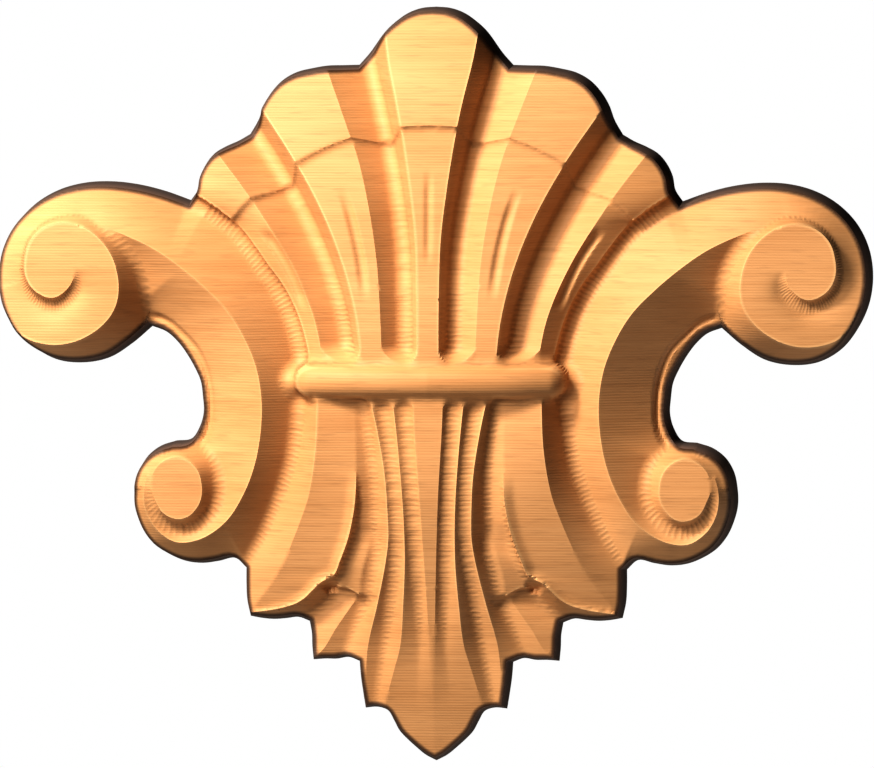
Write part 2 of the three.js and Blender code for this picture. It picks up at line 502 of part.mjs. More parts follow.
/** Carved lines that the face's triangles follow, as points [x, z]. */
function carvedLines() {
  const between = (f, g, share) => (z) => mix(f(z), g(z), share);
  const foot = (top, low) => (angle) => (top - low(angle)) / WALL_RISE;
  // each line with the z where it starts and ends
  const ribs = [
    [rib.centre, 9, 80], [rib.flute1, 9, 71], [rib.lobe1, 9, 60], [rib.flute2, 9, 52],
    [rib.edge2, 6, 39], [between(rib.centre, rib.flute1, 0.5), 7, 77],
    [between(rib.lobe1, rib.flute2, 0.5), 7, 58],
    [rib.strip, -70, -4], [rib.ridge1, -71, -4], [rib.ridge2, -66, -4],
    [between(rib.strip, rib.ridge1, 0.35), -66, -4],
    [between(rib.ridge1, rib.ridge2, 0.5), -66, -4],
    [between(rib.ridge2, rib.leafEdge, 0.6), -32, -4],
    [rib.leafRidge, -51, -4], [rib.cRidge, -60, -49], [rib.bRidge, -47.5, -36],
  ];
  // each volute line with its first and last angle, point spacing and offset from the step
  const turns = [
    [BIG_EYE, bigTurn, 180, 646, 1.5],
    [BIG_EYE, bigTurn, 190, BIG_RUN_OUT, 1.5, foot(BIG_TOP_H, high.bigFoot)],
    [BIG_EYE, bigTurn, 490, 640, 2, (angle) => mix(1.2, 2.7, clamp((angle - 490) / 60, 0, 1))],
    [SMALL_EYE, smallTurn, -338, -4, 1.5],
    [SMALL_EYE, smallTurn, -300, -20, 1.7, foot(SMALL_TOP_H, high.smallFoot)],
  ];
  const swap = (knots) => knots.map(([z, x]) => [x, z]);
  const tier = (side) => Array.from({ length: 29 }, (_, i) => {
    const lean = i * 1.75 * RAD;
    let r = TIER_RADIUS;
    for (let n = 0; n < 4; n += 1) r = tierLine(r * Math.sin(lean), r * Math.cos(lean));
    r += (side * TIER_RAMP) / 2;
    return [r * Math.sin(lean), r * Math.cos(lean)];
  });
  const bandEnd = BAND_STRAIGHT + BAND_HALF_WIDTH;
  return [
    ...ribs.map((line) => ribPath(...line)),
    ...turns.map((line) => turnPath(...line)),
    path(swap(LEAF_EDGE).slice(1), 1.6),
    path(swap(LEAF_EDGE).slice(3, -2).map(([x, z]) => [x - 0.5, z - 0.3]), 1.6),
    path(swap(LEAF_EDGE).slice(4, -4).map(([x, z]) => [x + BEVEL_WIDTH, z]), 1.8),
    path(B_LOWER, 1.6), path(B_LOWER.map(([x, z]) => [x, z - 0.5]), 1.6),
    valleyLine.map(([x, z]) => [x, z]).filter((_, i) => i % 2 === 0),
    path(CREST.map(([x, z]) => [x, z]), LINE_STEP),
    tier(-1), tier(1),
    path([[0, BAND_Z], [bandEnd - 0.4 * BAND_HALF_WIDTH, BAND_Z]], 3),
    ...[-1, -0.72, 0.72, 1].map((s) => path([[0, BAND_Z + s * BAND_HALF_WIDTH],
      [BAND_STRAIGHT, BAND_Z + s * BAND_HALF_WIDTH]], 2.4)),
    Array.from({ length: 7 }, (_, i) => [BAND_STRAIGHT + BAND_HALF_WIDTH * Math.sin(i * 30 * RAD),
      BAND_Z - BAND_HALF_WIDTH * Math.cos(i * 30 * RAD)]),
  ];
}

/** Points and triangles of the right half of the face, with the rim's points first. */
function faceHalf(rim) {
  const points = rim.map((p) => [...p]);
  const closed = [...rim];
  const gap = (x, z, list) => Math.min(...list.map((p) => Math.hypot(p[0] - x, p[1] - z)));
  const top = rim[0][1];
  const tip = rim[rim.length - 1][1];
  const count = Math.round((top - tip) / LINE_STEP);
  const middle = Array.from({ length: count - 1 }, (_, i) => [0, mix(tip, top, (i + 1) / count)]);
  points.push(...middle);
  const ring = points.length;
  const borders = [...rim, ...middle];
  const free = (x, z) => borders.every(([ax, az], i) => {
    const [bx, bz] = borders[(i + 1) % borders.length];
    return Math.hypot(x - (ax + bx) / 2, z - (az + bz) / 2)
      > Math.hypot(bx - ax, bz - az) * NEAR_WALL;
  });
  for (const line of carvedLines()) {
    for (const [x, z] of line) {
      if (inside(closed, x, z) && free(x, z)
        && gap(x, z, points.slice(ring)) > LINE_CLOSEST) points.push([x, z]);
    }
  }
  const lined = points.length;
  const widest = Math.max(...rim.map((p) => p[0]));
  const rowStep = FIELD_STEP * Math.sin(60 * RAD);
  for (let row = 0; row * rowStep < top - tip; row += 1) {
    for (let x = (row % 2) * FIELD_STEP * 0.5; x < widest; x += FIELD_STEP) {
      const z = tip + row * rowStep;
      if (inside(closed, x, z) && free(x, z)
        && gap(x, z, points.slice(0, lined)) > FIELD_STEP * 0.5) {
        points.push([x, z]);
      }
    }
  }
  const within = () => delaunay(points).filter((t) => inside(closed,
    ...[0, 1].map((k) => (points[t[0]][k] + points[t[1]][k] + points[t[2]][k]) / 3)));
  let triangles = within();
  for (let round = 0; round < ROUNDS && points.length < POINT_BUDGET; round += 1) {
    const wanted = [];
    for (const t of triangles) {
      const corner = t.map((i) => [...points[i], relief(...points[i])]);
      for (const w of [[1 / 3, 1 / 3, 1 / 3], [0.5, 0.5, 0], [0, 0.5, 0.5], [0.5, 0, 0.5]]) {
        const [x, z, h] = [0, 1, 2].map((k) => w[0] * corner[0][k] + w[1] * corner[1][k]
          + w[2] * corner[2][k]);
        const off = Math.abs(relief(x, z) - h);
        if (off > CARVING_TOLERANCE) wanted.push([off, x, z]);
      }
    }
    wanted.sort((a, b) => b[0] - a[0]);
    const limit = Math.min(POINT_BUDGET, points.length + ROUND_BUDGET);
    for (const [, x, z] of wanted) {
      if (points.length < limit && gap(x, z, points) > CLOSEST && inside(closed, x, z)
        && free(x, z)) points.push([x, z]);
    }
    triangles = within();
  }
  return { points, triangles };
}

/** The whole ornament as one closed body. */
function ornament() {
  const base = outlinePoints();
  const rim = insetPoints(base, FLARE);
  const { points, triangles } = faceHalf(rim);
  const edges = new Set();
  for (const [a, b, c] of triangles) {
    for (const [p, q] of [[a, b], [b, c], [c, a]]) edges.add(`${Math.min(p, q)},${Math.max(p, q)}`);
  }
  for (let i = 0; i + 1 < rim.length; i += 1) {
    if (!edges.has(`${i},${i + 1}`)) throw new Error(`rim edge ${i} at ${rim[i]} is missing`);
  }
  const xyz = [];
  const faces = [];
  const right = points.map(([x, z]) => xyz.push([x, -relief(x, z), z]) - 1);
  const left = points.map(([x, z], i) => (x === 0 ? right[i]
    : xyz.push([-x, -relief(x, z), z]) - 1));
  for (const [a, b, c] of triangles) {
    const [p, q, r] = [points[a], points[b], points[c]];
    const turn = (q[0] - p[0]) * (r[1] - p[1]) - (q[1] - p[1]) * (r[0] - p[0]);
    const [s, t] = turn > 0 ? [b, c] : [c, b];
    faces.push([right[a], right[s], right[t]], [left[a], left[t], left[s]]);
  }
  const baseRight = base.map(([x, z]) => xyz.push([x, 0, z]) - 1);
  const baseLeft = base.map(([x, z], i) => (x === 0 ? baseRight[i] : xyz.push([-x, 0, z]) - 1));
  for (let i = 0; i + 1 < base.length; i += 1) {
    faces.push([right[i], right[i + 1], baseRight[i + 1]], [right[i], baseRight[i + 1], baseRight[i]]);
    faces.push([left[i + 1], left[i], baseLeft[i]], [left[i + 1], baseLeft[i], baseLeft[i + 1]]);
  }
  const back = [...baseRight, ...baseLeft.slice(1, -1).reverse()];
  const flat = back.map((v) => new THREE.Vector2(xyz[v][0], xyz[v][2]));
  for (const [a, b, c] of THREE.ShapeUtils.triangulateShape(flat, [])) {
    faces.push([back[a], back[c], back[b]]);
  }
  const geometry = new THREE.BufferGeometry();
  geometry.setAttribute('position', new THREE.Float32BufferAttribute(xyz.flat(), 3));
  geometry.setIndex(faces.flat());
  geometry.computeVertexNormals();
  return geometry;
}

const material = new THREE.MeshStandardMaterial({ color: 0xd8a066, roughness: 0.55, metalness: 0 });
material.name = 'carved_maple';
const mesh = new THREE.Mesh(ornament(), material);
mesh.name = 'carved_ornament';
const part = new THREE.Group();
part.name = 'cartouche_onlay';
part.add(mesh);
export default part;
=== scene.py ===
"""Looks of a carved wooden cartouche onlay: shell, leaf spray and two C-scrolls on a flat back.

The carving is one height field. Every sub-assembly gives the height of its own surface, in
millimetres in front of the flat back, for the right half (x >= 0). The left half is its mirror
image. The finished sheet stands for the solid of the same form.
"""
from __future__ import annotations

import logging
import math
from dataclasses import dataclass, field
from enum import Enum
from typing import Sequence

import bpy
import numpy as np
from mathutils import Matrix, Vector


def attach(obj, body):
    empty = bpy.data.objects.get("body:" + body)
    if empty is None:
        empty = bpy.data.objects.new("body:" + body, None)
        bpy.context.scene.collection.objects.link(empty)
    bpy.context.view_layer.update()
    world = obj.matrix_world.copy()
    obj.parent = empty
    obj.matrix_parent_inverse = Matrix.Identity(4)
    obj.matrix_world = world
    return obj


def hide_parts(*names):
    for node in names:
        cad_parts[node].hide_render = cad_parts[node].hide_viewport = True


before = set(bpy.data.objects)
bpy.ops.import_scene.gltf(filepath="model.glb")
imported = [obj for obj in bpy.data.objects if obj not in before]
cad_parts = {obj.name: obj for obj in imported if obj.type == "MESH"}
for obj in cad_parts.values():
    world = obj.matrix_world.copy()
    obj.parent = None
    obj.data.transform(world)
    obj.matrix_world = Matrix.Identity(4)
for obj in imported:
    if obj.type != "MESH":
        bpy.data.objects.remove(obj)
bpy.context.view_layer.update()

Array = np.ndarray
Pairs = Sequence[tuple[float, float]]
log = logging.getLogger("cartouche")

MM = 0.001
WALL_RISE = 4.2
WARM = (1.0, 0.97, 0.93)


def mix(a: Array | float, b: Array | float, t: Array | float) -> Array:
    """Return a where t is 0, b where t is 1, and in proportion between."""
    return a + (b - a) * t


def smooth_step(v: Array, low: float, high: float) -> Array:
    """Return 0 below low, 1 above high and a smooth rise 3t^2 - 2t^3 between."""
    t = np.clip((v - low) / (high - low), 0, 1)
    return t * t * (3 - 2 * t)


class Ends(Enum):
    """What a profile does past its first and last station."""

    RUN_ON = "run on"
    LEVEL = "level"


class Profile:
    """A smooth line through stations (at, value).

    Between two stations it is the cubic with the mean of the neighbouring chords as slope.
    """

    def __init__(self, stations: Pairs, ends: Ends = Ends.LEVEL) -> None:
        """Store the stations.

        Args:
            stations: Pairs of place and value, places rising.
            ends: Whether the line runs straight on or stays level past its ends.
        """
        self.at, self.value = np.array(stations, float).T
        chord = np.diff(self.value) / np.diff(self.at)
        self.slope = np.r_[chord[0], (chord[:-1] + chord[1:]) / 2, chord[-1]]
        self.ends = ends

    def __call__(self, v: Array | float) -> Array:
        """Return the line's value at every place of v.

        Args:
            v: Places along the line.

        Returns:
            One value for each place.
        """
        v = np.asarray(v, float)
        w = np.clip(v, self.at[0], self.at[-1])
        i = np.clip(np.searchsorted(self.at, w, side="right") - 1, 0, len(self.at) - 2)
        h = self.at[i + 1] - self.at[i]
        t = (w - self.at[i]) / h
        out = (1 + 2 * t) * (1 - t) ** 2 * self.value[i] + t * (1 - t) ** 2 * h * self.slope[i]
        out = out + t * t * (3 - 2 * t) * self.value[i + 1]
        out = out + t * t * (t - 1) * h * self.slope[i + 1]
        if self.ends is Ends.RUN_ON:
            out = out + np.where(v < self.at[0], self.slope[0] * (v - self.at[0]), 0)
            out = out + np.where(v > self.at[-1], self.slope[-1] * (v - self.at[-1]), 0)
        return out


def path(knots: Sequence[Sequence[float]], step: float) -> Array:
    """Return points at even spacing along a smooth path through knots.

    Args:
        knots: Points of any number of coordinates; the first two are x and z.
        step: Spacing in millimetres.

    Returns:
        One row for each point.
    """
    k = np.array(knots, float)
    along = np.r_[0, np.cumsum(np.hypot(*np.diff(k[:, :2], axis=0).T))]
    count = max(2, int(round(along[-1] / step)))
    t = along[-1] * np.arange(count + 1) / count
    return np.stack([Profile(np.c_[along, column])(t) for column in k.T], axis=1)


@dataclass
class Near:
    """The nearest place of a line for every point asked."""

    distance: Array
    height: Array
    side: Array
    share: Array


def nearest(line: Array, x: Array, z: Array, chunk: int = 20000) -> Near:
    """Find the nearest place on a polyline for many points at once.

    Args:
        line: Rows x, z, height.
        x: Places across.
        z: Places up.
        chunk: How many points are worked on together.

    Returns:
        Distance, the line's height there, the side (negative on the right) and the share of
        the line's length.
    """
    a, b = line[:-1], line[1:]
    u = b[:, :2] - a[:, :2]
    uu = (u ** 2).sum(1)
    along = np.r_[0, np.cumsum(np.sqrt(uu))]
    found = [np.empty(len(x)) for _ in range(4)]
    for i in range(0, len(x), chunk):
        px, pz = x[i:i + chunk, None], z[i:i + chunk, None]
        t = np.clip(((px - a[:, 0]) * u[:, 0] + (pz - a[:, 1]) * u[:, 1]) / uu, 0, 1)
        off = (px - a[:, 0] - t * u[:, 0]) ** 2 + (pz - a[:, 1] - t * u[:, 1]) ** 2
        j = off.argmin(1)
        row = np.arange(len(j))
        tj = t[row, j]
        found[0][i:i + chunk] = np.sqrt(off[row, j])
        found[1][i:i + chunk] = mix(a[j, 2], b[j, 2], tj)
        found[2][i:i + chunk] = u[j, 0] * (pz[:, 0] - a[j, 1]) - u[j, 1] * (px[:, 0] - a[j, 0])
        found[3][i:i + chunk] = (along[j] + tj * np.sqrt(uu[j])) / along[-1]
    return Near(*found)


def section(stations: Sequence[tuple[Array | float, Array | float]], x: Array) -> Array:
    """Return the height of a cross-section made of straight facets.

    Args:
        stations: Pairs of place and height, each an array over the rows asked.
        x: Places across.

    Returns:
        The height at x, level past both ends.
    """
    out = stations[0][1] + 0 * x
    for (a, ha), (b, hb) in zip(stations[:-1], stations[1:]):
        t = np.clip((x - a) / np.maximum(b - a, 1e-3), 0, 1)
        out = np.where(x > a, mix(ha, hb, t), out)
    return out


def down_the_ribs(rib: Profile, low: float, top: float, step: float = 0.1) -> Array:
    """Return the points [x, z] of a line that is stored as x against z."""
    z = np.arange(low, top, step)
    return np.c_[rib(z), z]


@dataclass
class Outline:
    """The blank's edge: right half, from the crown down to the tip, corners between features."""

    lean: float = 1.0
    features: tuple = (
        ((0, 87), (3.3, 86.7), (6.4, 85.6), (9.2, 83.7), (11.6, 81.5), (15.5, 76.2), (17.8, 73.6)),
        ((17.8, 73.6), (21.5, 73.5), (25.1, 73.4), (28.7, 72.8), (32.3, 71.9), (35.5, 70.1),
         (38, 67.5), (39.9, 64.4), (41.2, 60.9), (43.1, 57.6)),
        ((43.1, 57.6), (45.7, 56.1), (48.6, 54.8), (51.3, 53.2), (53.3, 50.8), (54.6, 48),
         (55.2, 44.9), (56.9, 42.3)),
        ((56.9, 42.3), (62.8, 44.4), (68.9, 45.9), (75.1, 46.6), (81.4, 46.3), (87.4, 44.7),
         (92.8, 41.6), (97.1, 37.1), (99.8, 31.5), (100.7, 25.3), (99.9, 19.1), (97.4, 13.4),
         (93.6, 8.5), (88.2, 5.4), (82, 4.7), (75.9, 5.9), (70.6, 9.2), (65.9, 13.2)),
        ((65.9, 13.2), (62.6, 11.9), (60, 9.6), (57.9, 6.8), (56.1, 3.7), (54.7, 0.5), (54.2, -3),
         (54, -6.6), (54.9, -10), (56.8, -12.8), (60.3, -13.3)),
        ((60.3, -13.3), (63.9, -14.5), (66.9, -16.8), (68.8, -20), (69.6, -23.8), (69.7, -27.6),
         (68.8, -31.3), (67.2, -34.8), (64.8, -37.7), (61.6, -39.8), (58, -41.2), (54.2, -41.6),
         (50.4, -41.1), (46.7, -40.4), (44.1, -42.6)),
        ((44.1, -42.6), (44.1, -46.4), (43.9, -50.1), (43.1, -53.8)),
        ((43.1, -53.8), (40.3, -54.3), (37.6, -54.5), (34.8, -54.3), (32, -54), (29.4, -54.9)),
        ((29.4, -54.9), (28.9, -57.7), (28.8, -60.6), (28.5, -63.8)),
        ((28.5, -63.8), (25.7, -63.6), (23, -63.6), (20.3, -63.2), (17.8, -64.1)),
        ((17.8, -64.1), (17.5, -67.7), (17, -71.2), (16.4, -74.9)),
        ((16.4, -74.9), (13.5, -74.7), (11.2, -75.5), (9.8, -77.8), (8.5, -80.2), (6.6, -82.2),
         (4.6, -84), (2.5, -85.7), (0, -87)),
    )

    def edges(self, step: float = 0.4) -> tuple[Array, Array, Array]:
        """Work out the rim at the face and the outline on the back, point for point.

        Every rim point lies inwards by the walls' lean, along the mean normal of the outline's
        two edges there, and further at a corner. Points that come closer to the outline than
        the lean, as they do beside an outer corner, are left out of both.

        Returns:
            Rim, outline and which points are corners, from the crown to the tip.
        """
        runs = [path(knots, step) for knots in self.features]
        p = np.concatenate([runs[0], *(run[1:] for run in runs[1:])])
        p[[0, -1], 0] = 0
        corner = np.isin(np.arange(len(p)), np.cumsum([0, *(len(run) - 1 for run in runs)]))
        a = np.diff(p, axis=0, prepend=[[-p[1, 0], p[1, 1]]])
        b = np.diff(p, axis=0, append=[[-p[-2, 0], p[-2, 1]]])
        a /= np.hypot(*a.T)[:, None]
        b /= np.hypot(*b.T)[:, None]
        n = np.c_[a[:, 1] + b[:, 1], -a[:, 0] - b[:, 0]]
        n /= np.hypot(*n.T)[:, None]
        grow = np.minimum(1 / np.maximum((n * np.c_[a[:, 1], -a[:, 0]]).sum(1), 0.5), 1.6)
        q = p + n * (self.lean * grow)[:, None]
        q[[0, -1], 0] = 0
        loop = np.r_[p, p[-2:0:-1] * [-1, 1], p[:1]]
        gap = nearest(np.c_[loop, np.zeros(len(loop))], q[:, 0], q[:, 1]).distance
        keep = corner | (gap > 0.97 * self.lean)
        return q[keep], p[keep], corner[keep]

    def followed(self, step: float) -> tuple[Array, Array, Array]:
        """Return the same three with more points, straight between those of edges().

        Args:
            step: Spacing in millimetres.

        Returns:
            Rim, outline and which points are corners.
        """
        rim, base, corner = self.edges()
        along = np.r_[0, np.cumsum(np.hypot(*np.diff(rim, axis=0).T))]
        t = np.union1d(np.arange(0, along[-1], step), along)
        both = [np.stack([np.interp(t, along, line[:, k]) for k in (0, 1)], axis=1)
                for line in (rim, base)]
        return both[0], both[1], np.isin(t, along[corner])

    def polygon(self) -> Array:
        """Return the whole rim as a closed polygon."""
        rim = self.edges()[0]
        return np.r_[rim, rim[-2:0:-1] * [-1, 1]]


@dataclass
class Band:
    """The half-round band across the waist."""

    level: float = 1.3
    half_width: float = 3.7
    straight: float = 27.6
    rise: float = 3.6
    top: Pairs = ((0, 24.2), (10, 23.7), (20, 22.2), (27, 20), (31.5, 18))

    def off(self, x: Array, z: Array) -> Array:
        """Return the distance from the band's axis in half widths."""
        return np.hypot(np.maximum(0, x - self.straight), z - self.level) / self.half_width

    def height(self, x: Array, z: Array, under: Array) -> Array:
        """Return the half-round's height, or what lies under it where that is higher.

        Args:
            x: Places across.
            z: Places up.
            under: Height of what lies under the band.

        Returns:
            The height with the band.
        """
        off = self.off(x, z)
        round_ = Profile(self.top)(x) - self.rise * (1 - np.sqrt(np.maximum(0, 1 - off * off)))
        return np.where(off < 1, np.maximum(under, round_), under)

    def creases(self) -> list[Array]:
        """Return the band's edge: two straight lines and the half circle at its end."""
        a = np.radians(np.linspace(-90, 90, 120))
        x = np.r_[np.arange(0, self.straight, 0.1), self.straight + self.half_width * np.cos(a),
                  np.arange(0, self.straight, 0.1)[::-1]]
        z = np.r_[np.full(int(len(x) - 120) // 2, -1.0), np.sin(a),
                  np.full(int(len(x) - 120) // 2, 1.0)]
        return [np.c_[x, self.level + self.half_width * z]]


@dataclass
class Shell:
    """The fluted shell: a centre lobe and two more to each side."""

    centre_edge: Pairs = ((4, 2.4), (22, 2.5), (34, 2.9), (46, 4.3), (58, 6.2), (66, 7.8),
                          (74, 9.6), (82, 10.9))
    flute_1: Pairs = ((4, 10.6), (16, 11.1), (28, 11.9), (40, 13.7), (52, 16.5), (62, 20.1),
                      (70, 23.1))
    lobe_1: Pairs = ((4, 15.2), (16, 16.7), (28, 19.8), (40, 24.7), (52, 31.4), (62, 38.1))
    flute_2: Pairs = ((4, 24.4), (16, 26.9), (28, 32.1), (40, 39.5), (46, 43.7), (52, 48.4))
    edge_2: Pairs = ((2, 27.6), (7.7, 28.4), (11.6, 29.3), (16.2, 30.8), (20.2, 32.6),
                     (24.3, 35.1), (27.8, 37.8), (31.2, 40.2), (37.3, 45.2), (40, 48.6),
                     (46, 58))
    centre_top: Pairs = ((0, 21.6), (20, 21.6), (40, 20.6), (60, 18.8), (70, 16.4), (80, 12.4),
                         (87, 9))
    lobe_1_top: Pairs = ((0, 20.4), (20, 20.2), (40, 18.8), (50, 17.2), (60, 15.4), (70, 13),
                         (77.5, 11))
    lobe_2_top: Pairs = ((20, 15.6), (28, 15.4), (40, 14.6), (50, 14), (60, 13), (68, 12),
                         (74, 10.4))
    edge_drop: Pairs = ((4, 2.6), (20, 3), (30, 3), (37, 3), (42, 1.8), (46, 1.1),
                        (57, 0.9))
    inner_rise: float = 2.4
    outer_rise: float = 1.1
    flute_end: float = 5.6
    flute_end_radius: float = 4.0
    tier_radius: float = 60.0
    tier_dip: float = 4.0
    tier_rise: float = 0.9
    tier_blur: float = 0.04
    score_width: float = 0.45
    score_low: float = 20.0

    def ribs(self, z: Array) -> list[Array]:
        """Return x of the five carved lines at z, from the centre lobe's edge outwards."""
        lines = (self.centre_edge, self.flute_1, self.lobe_1, self.flute_2)
        found = [Profile(line, Ends.RUN_ON)(z) for line in lines]
        return [*found, Profile(self.edge_2)(z)]

    def hollow(self, x: Array, z: Array, inner: int) -> tuple[Array, Array]:
        """Return a flute's depth and how far in from its edges every place is, 1 on the axis.

        Both walls are planes: the one nearer the middle of the shell rises by inner_rise and
        the other by outer_rise for each millimetre square to the flute. They meet on an axis
        that divides the width as outer_rise to inner_rise. With v the distance from the axis in
        shares of its own side's width, the depth is its value on the axis times 1 - |v|. At
        the lower end v grows with the distance below the end's centre, which rounds the end.

        Args:
            x: Places across.
            z: Places up.
            inner: Number of the flute's inner edge among the ribs.

        Returns:
            The depth, and 1 on the axis falling to 0 on the edges.
        """
        ribs = self.ribs(z)
        ahead = self.ribs(z + 1)
        share = self.outer_rise / (self.outer_rise + self.inner_rise)
        axis = mix(ribs[inner], ribs[inner + 1], share)
        square = 1 / np.hypot(1, mix(ahead[inner], ahead[inner + 1], share) - axis)
        left, right = axis - ribs[inner], ribs[inner + 1] - axis
        below = np.maximum(0, self.flute_end + self.flute_end_radius - z)
        v = np.hypot((x - axis) / np.where(x < axis, left, right), below / self.flute_end_radius)
        depth = self.inner_rise * left * square
        return depth * np.maximum(0, 1 - v), np.clip(1 - v, 0, 1)

    def height(self, x: Array, z: Array, foot_x: Array, foot: Array) -> Array:
        """Return the shell's height.

        Lobes are level across and fall with the distance from the band's middle. A flute is
        taken off the straight line between its two lobes. The second lobe falls to its outer
        edge and then steeply to the foot, where the scroll starts.

        Args:
            x: Places across.
            z: Places up.
            foot_x: Where the scroll starts.
            foot: Height of the valley there.

        Returns:
            The height.
        """
        r = np.hypot(x, z)
        tops = [Profile(s)(r) for s in (self.centre_top, self.lobe_1_top, self.lobe_2_top)]
        e = self.ribs(z)
        edge = np.minimum(e[4], foot_x - 0.1)
        low = tops[2] - Profile(self.edge_drop)(z)
        bottom = np.minimum(edge + (low - foot) / WALL_RISE, foot_x - 0.05)
        out = section([(e[3], tops[2]), (edge, low), (bottom, foot), (foot_x, foot)], x)
        for inner, (a, b) in ((2, (tops[1], tops[2])), (0, (tops[0], tops[1]))):
            share = np.clip((x - e[inner]) / (e[inner + 1] - e[inner]), 0, 1)
            cut = mix(a, b, share) - self.hollow(x, z, inner)[0]
            out = np.where(x < e[inner + 1], cut, out)
            out = np.where(x < e[inner], a, out)
        step = smooth_step(r - self.tier_line(x, z), -self.tier_blur, self.tier_blur)
        return out + self.tier_rise * step * smooth_step(foot_x - x, 0, 1.5)

    def tier_line(self, x: Array, z: Array) -> Array:
        """Return the radius of the step between the two tiers: smaller inside the flutes."""
        dip = self.hollow(x, z, 0)[1] + self.hollow(x, z, 2)[1]
        return self.tier_radius - self.tier_dip * np.minimum(dip, 1)

    def score(self, x: Array, z: Array) -> Array:
        """Return exp(-(d / width)^2) with d the distance from the foot of the tiers' step."""
        off = np.hypot(x, z) - self.tier_line(x, z) + 0.2
        own = (z > self.score_low) & (x < Profile(self.edge_2)(z))
        return np.where(own, np.exp(-(off / self.score_width) ** 2), 0)

    def tier(self) -> Array:
        """Return the step between the tiers as points [x, z], found by repeated approach."""
        a = np.radians(np.arange(0, 54, 0.08))
        r = np.full(len(a), self.tier_radius)
        for _ in range(6):
            r = self.tier_line(r * np.sin(a), r * np.cos(a))
        return np.c_[r * np.sin(a), r * np.cos(a)]

    def creases(self) -> list[Array]:
        """Return the carved lines as points [x, z]."""
        lines = (self.centre_edge, self.flute_1, self.lobe_1, self.flute_2)
        tops = (83, 72, 62, 54)
        found = [down_the_ribs(Profile(line, Ends.RUN_ON), 7.5, top)
                 for line, top in zip(lines, tops)]
        return [*found, down_the_ribs(Profile(self.edge_2), 5.2, 40), self.tier()]


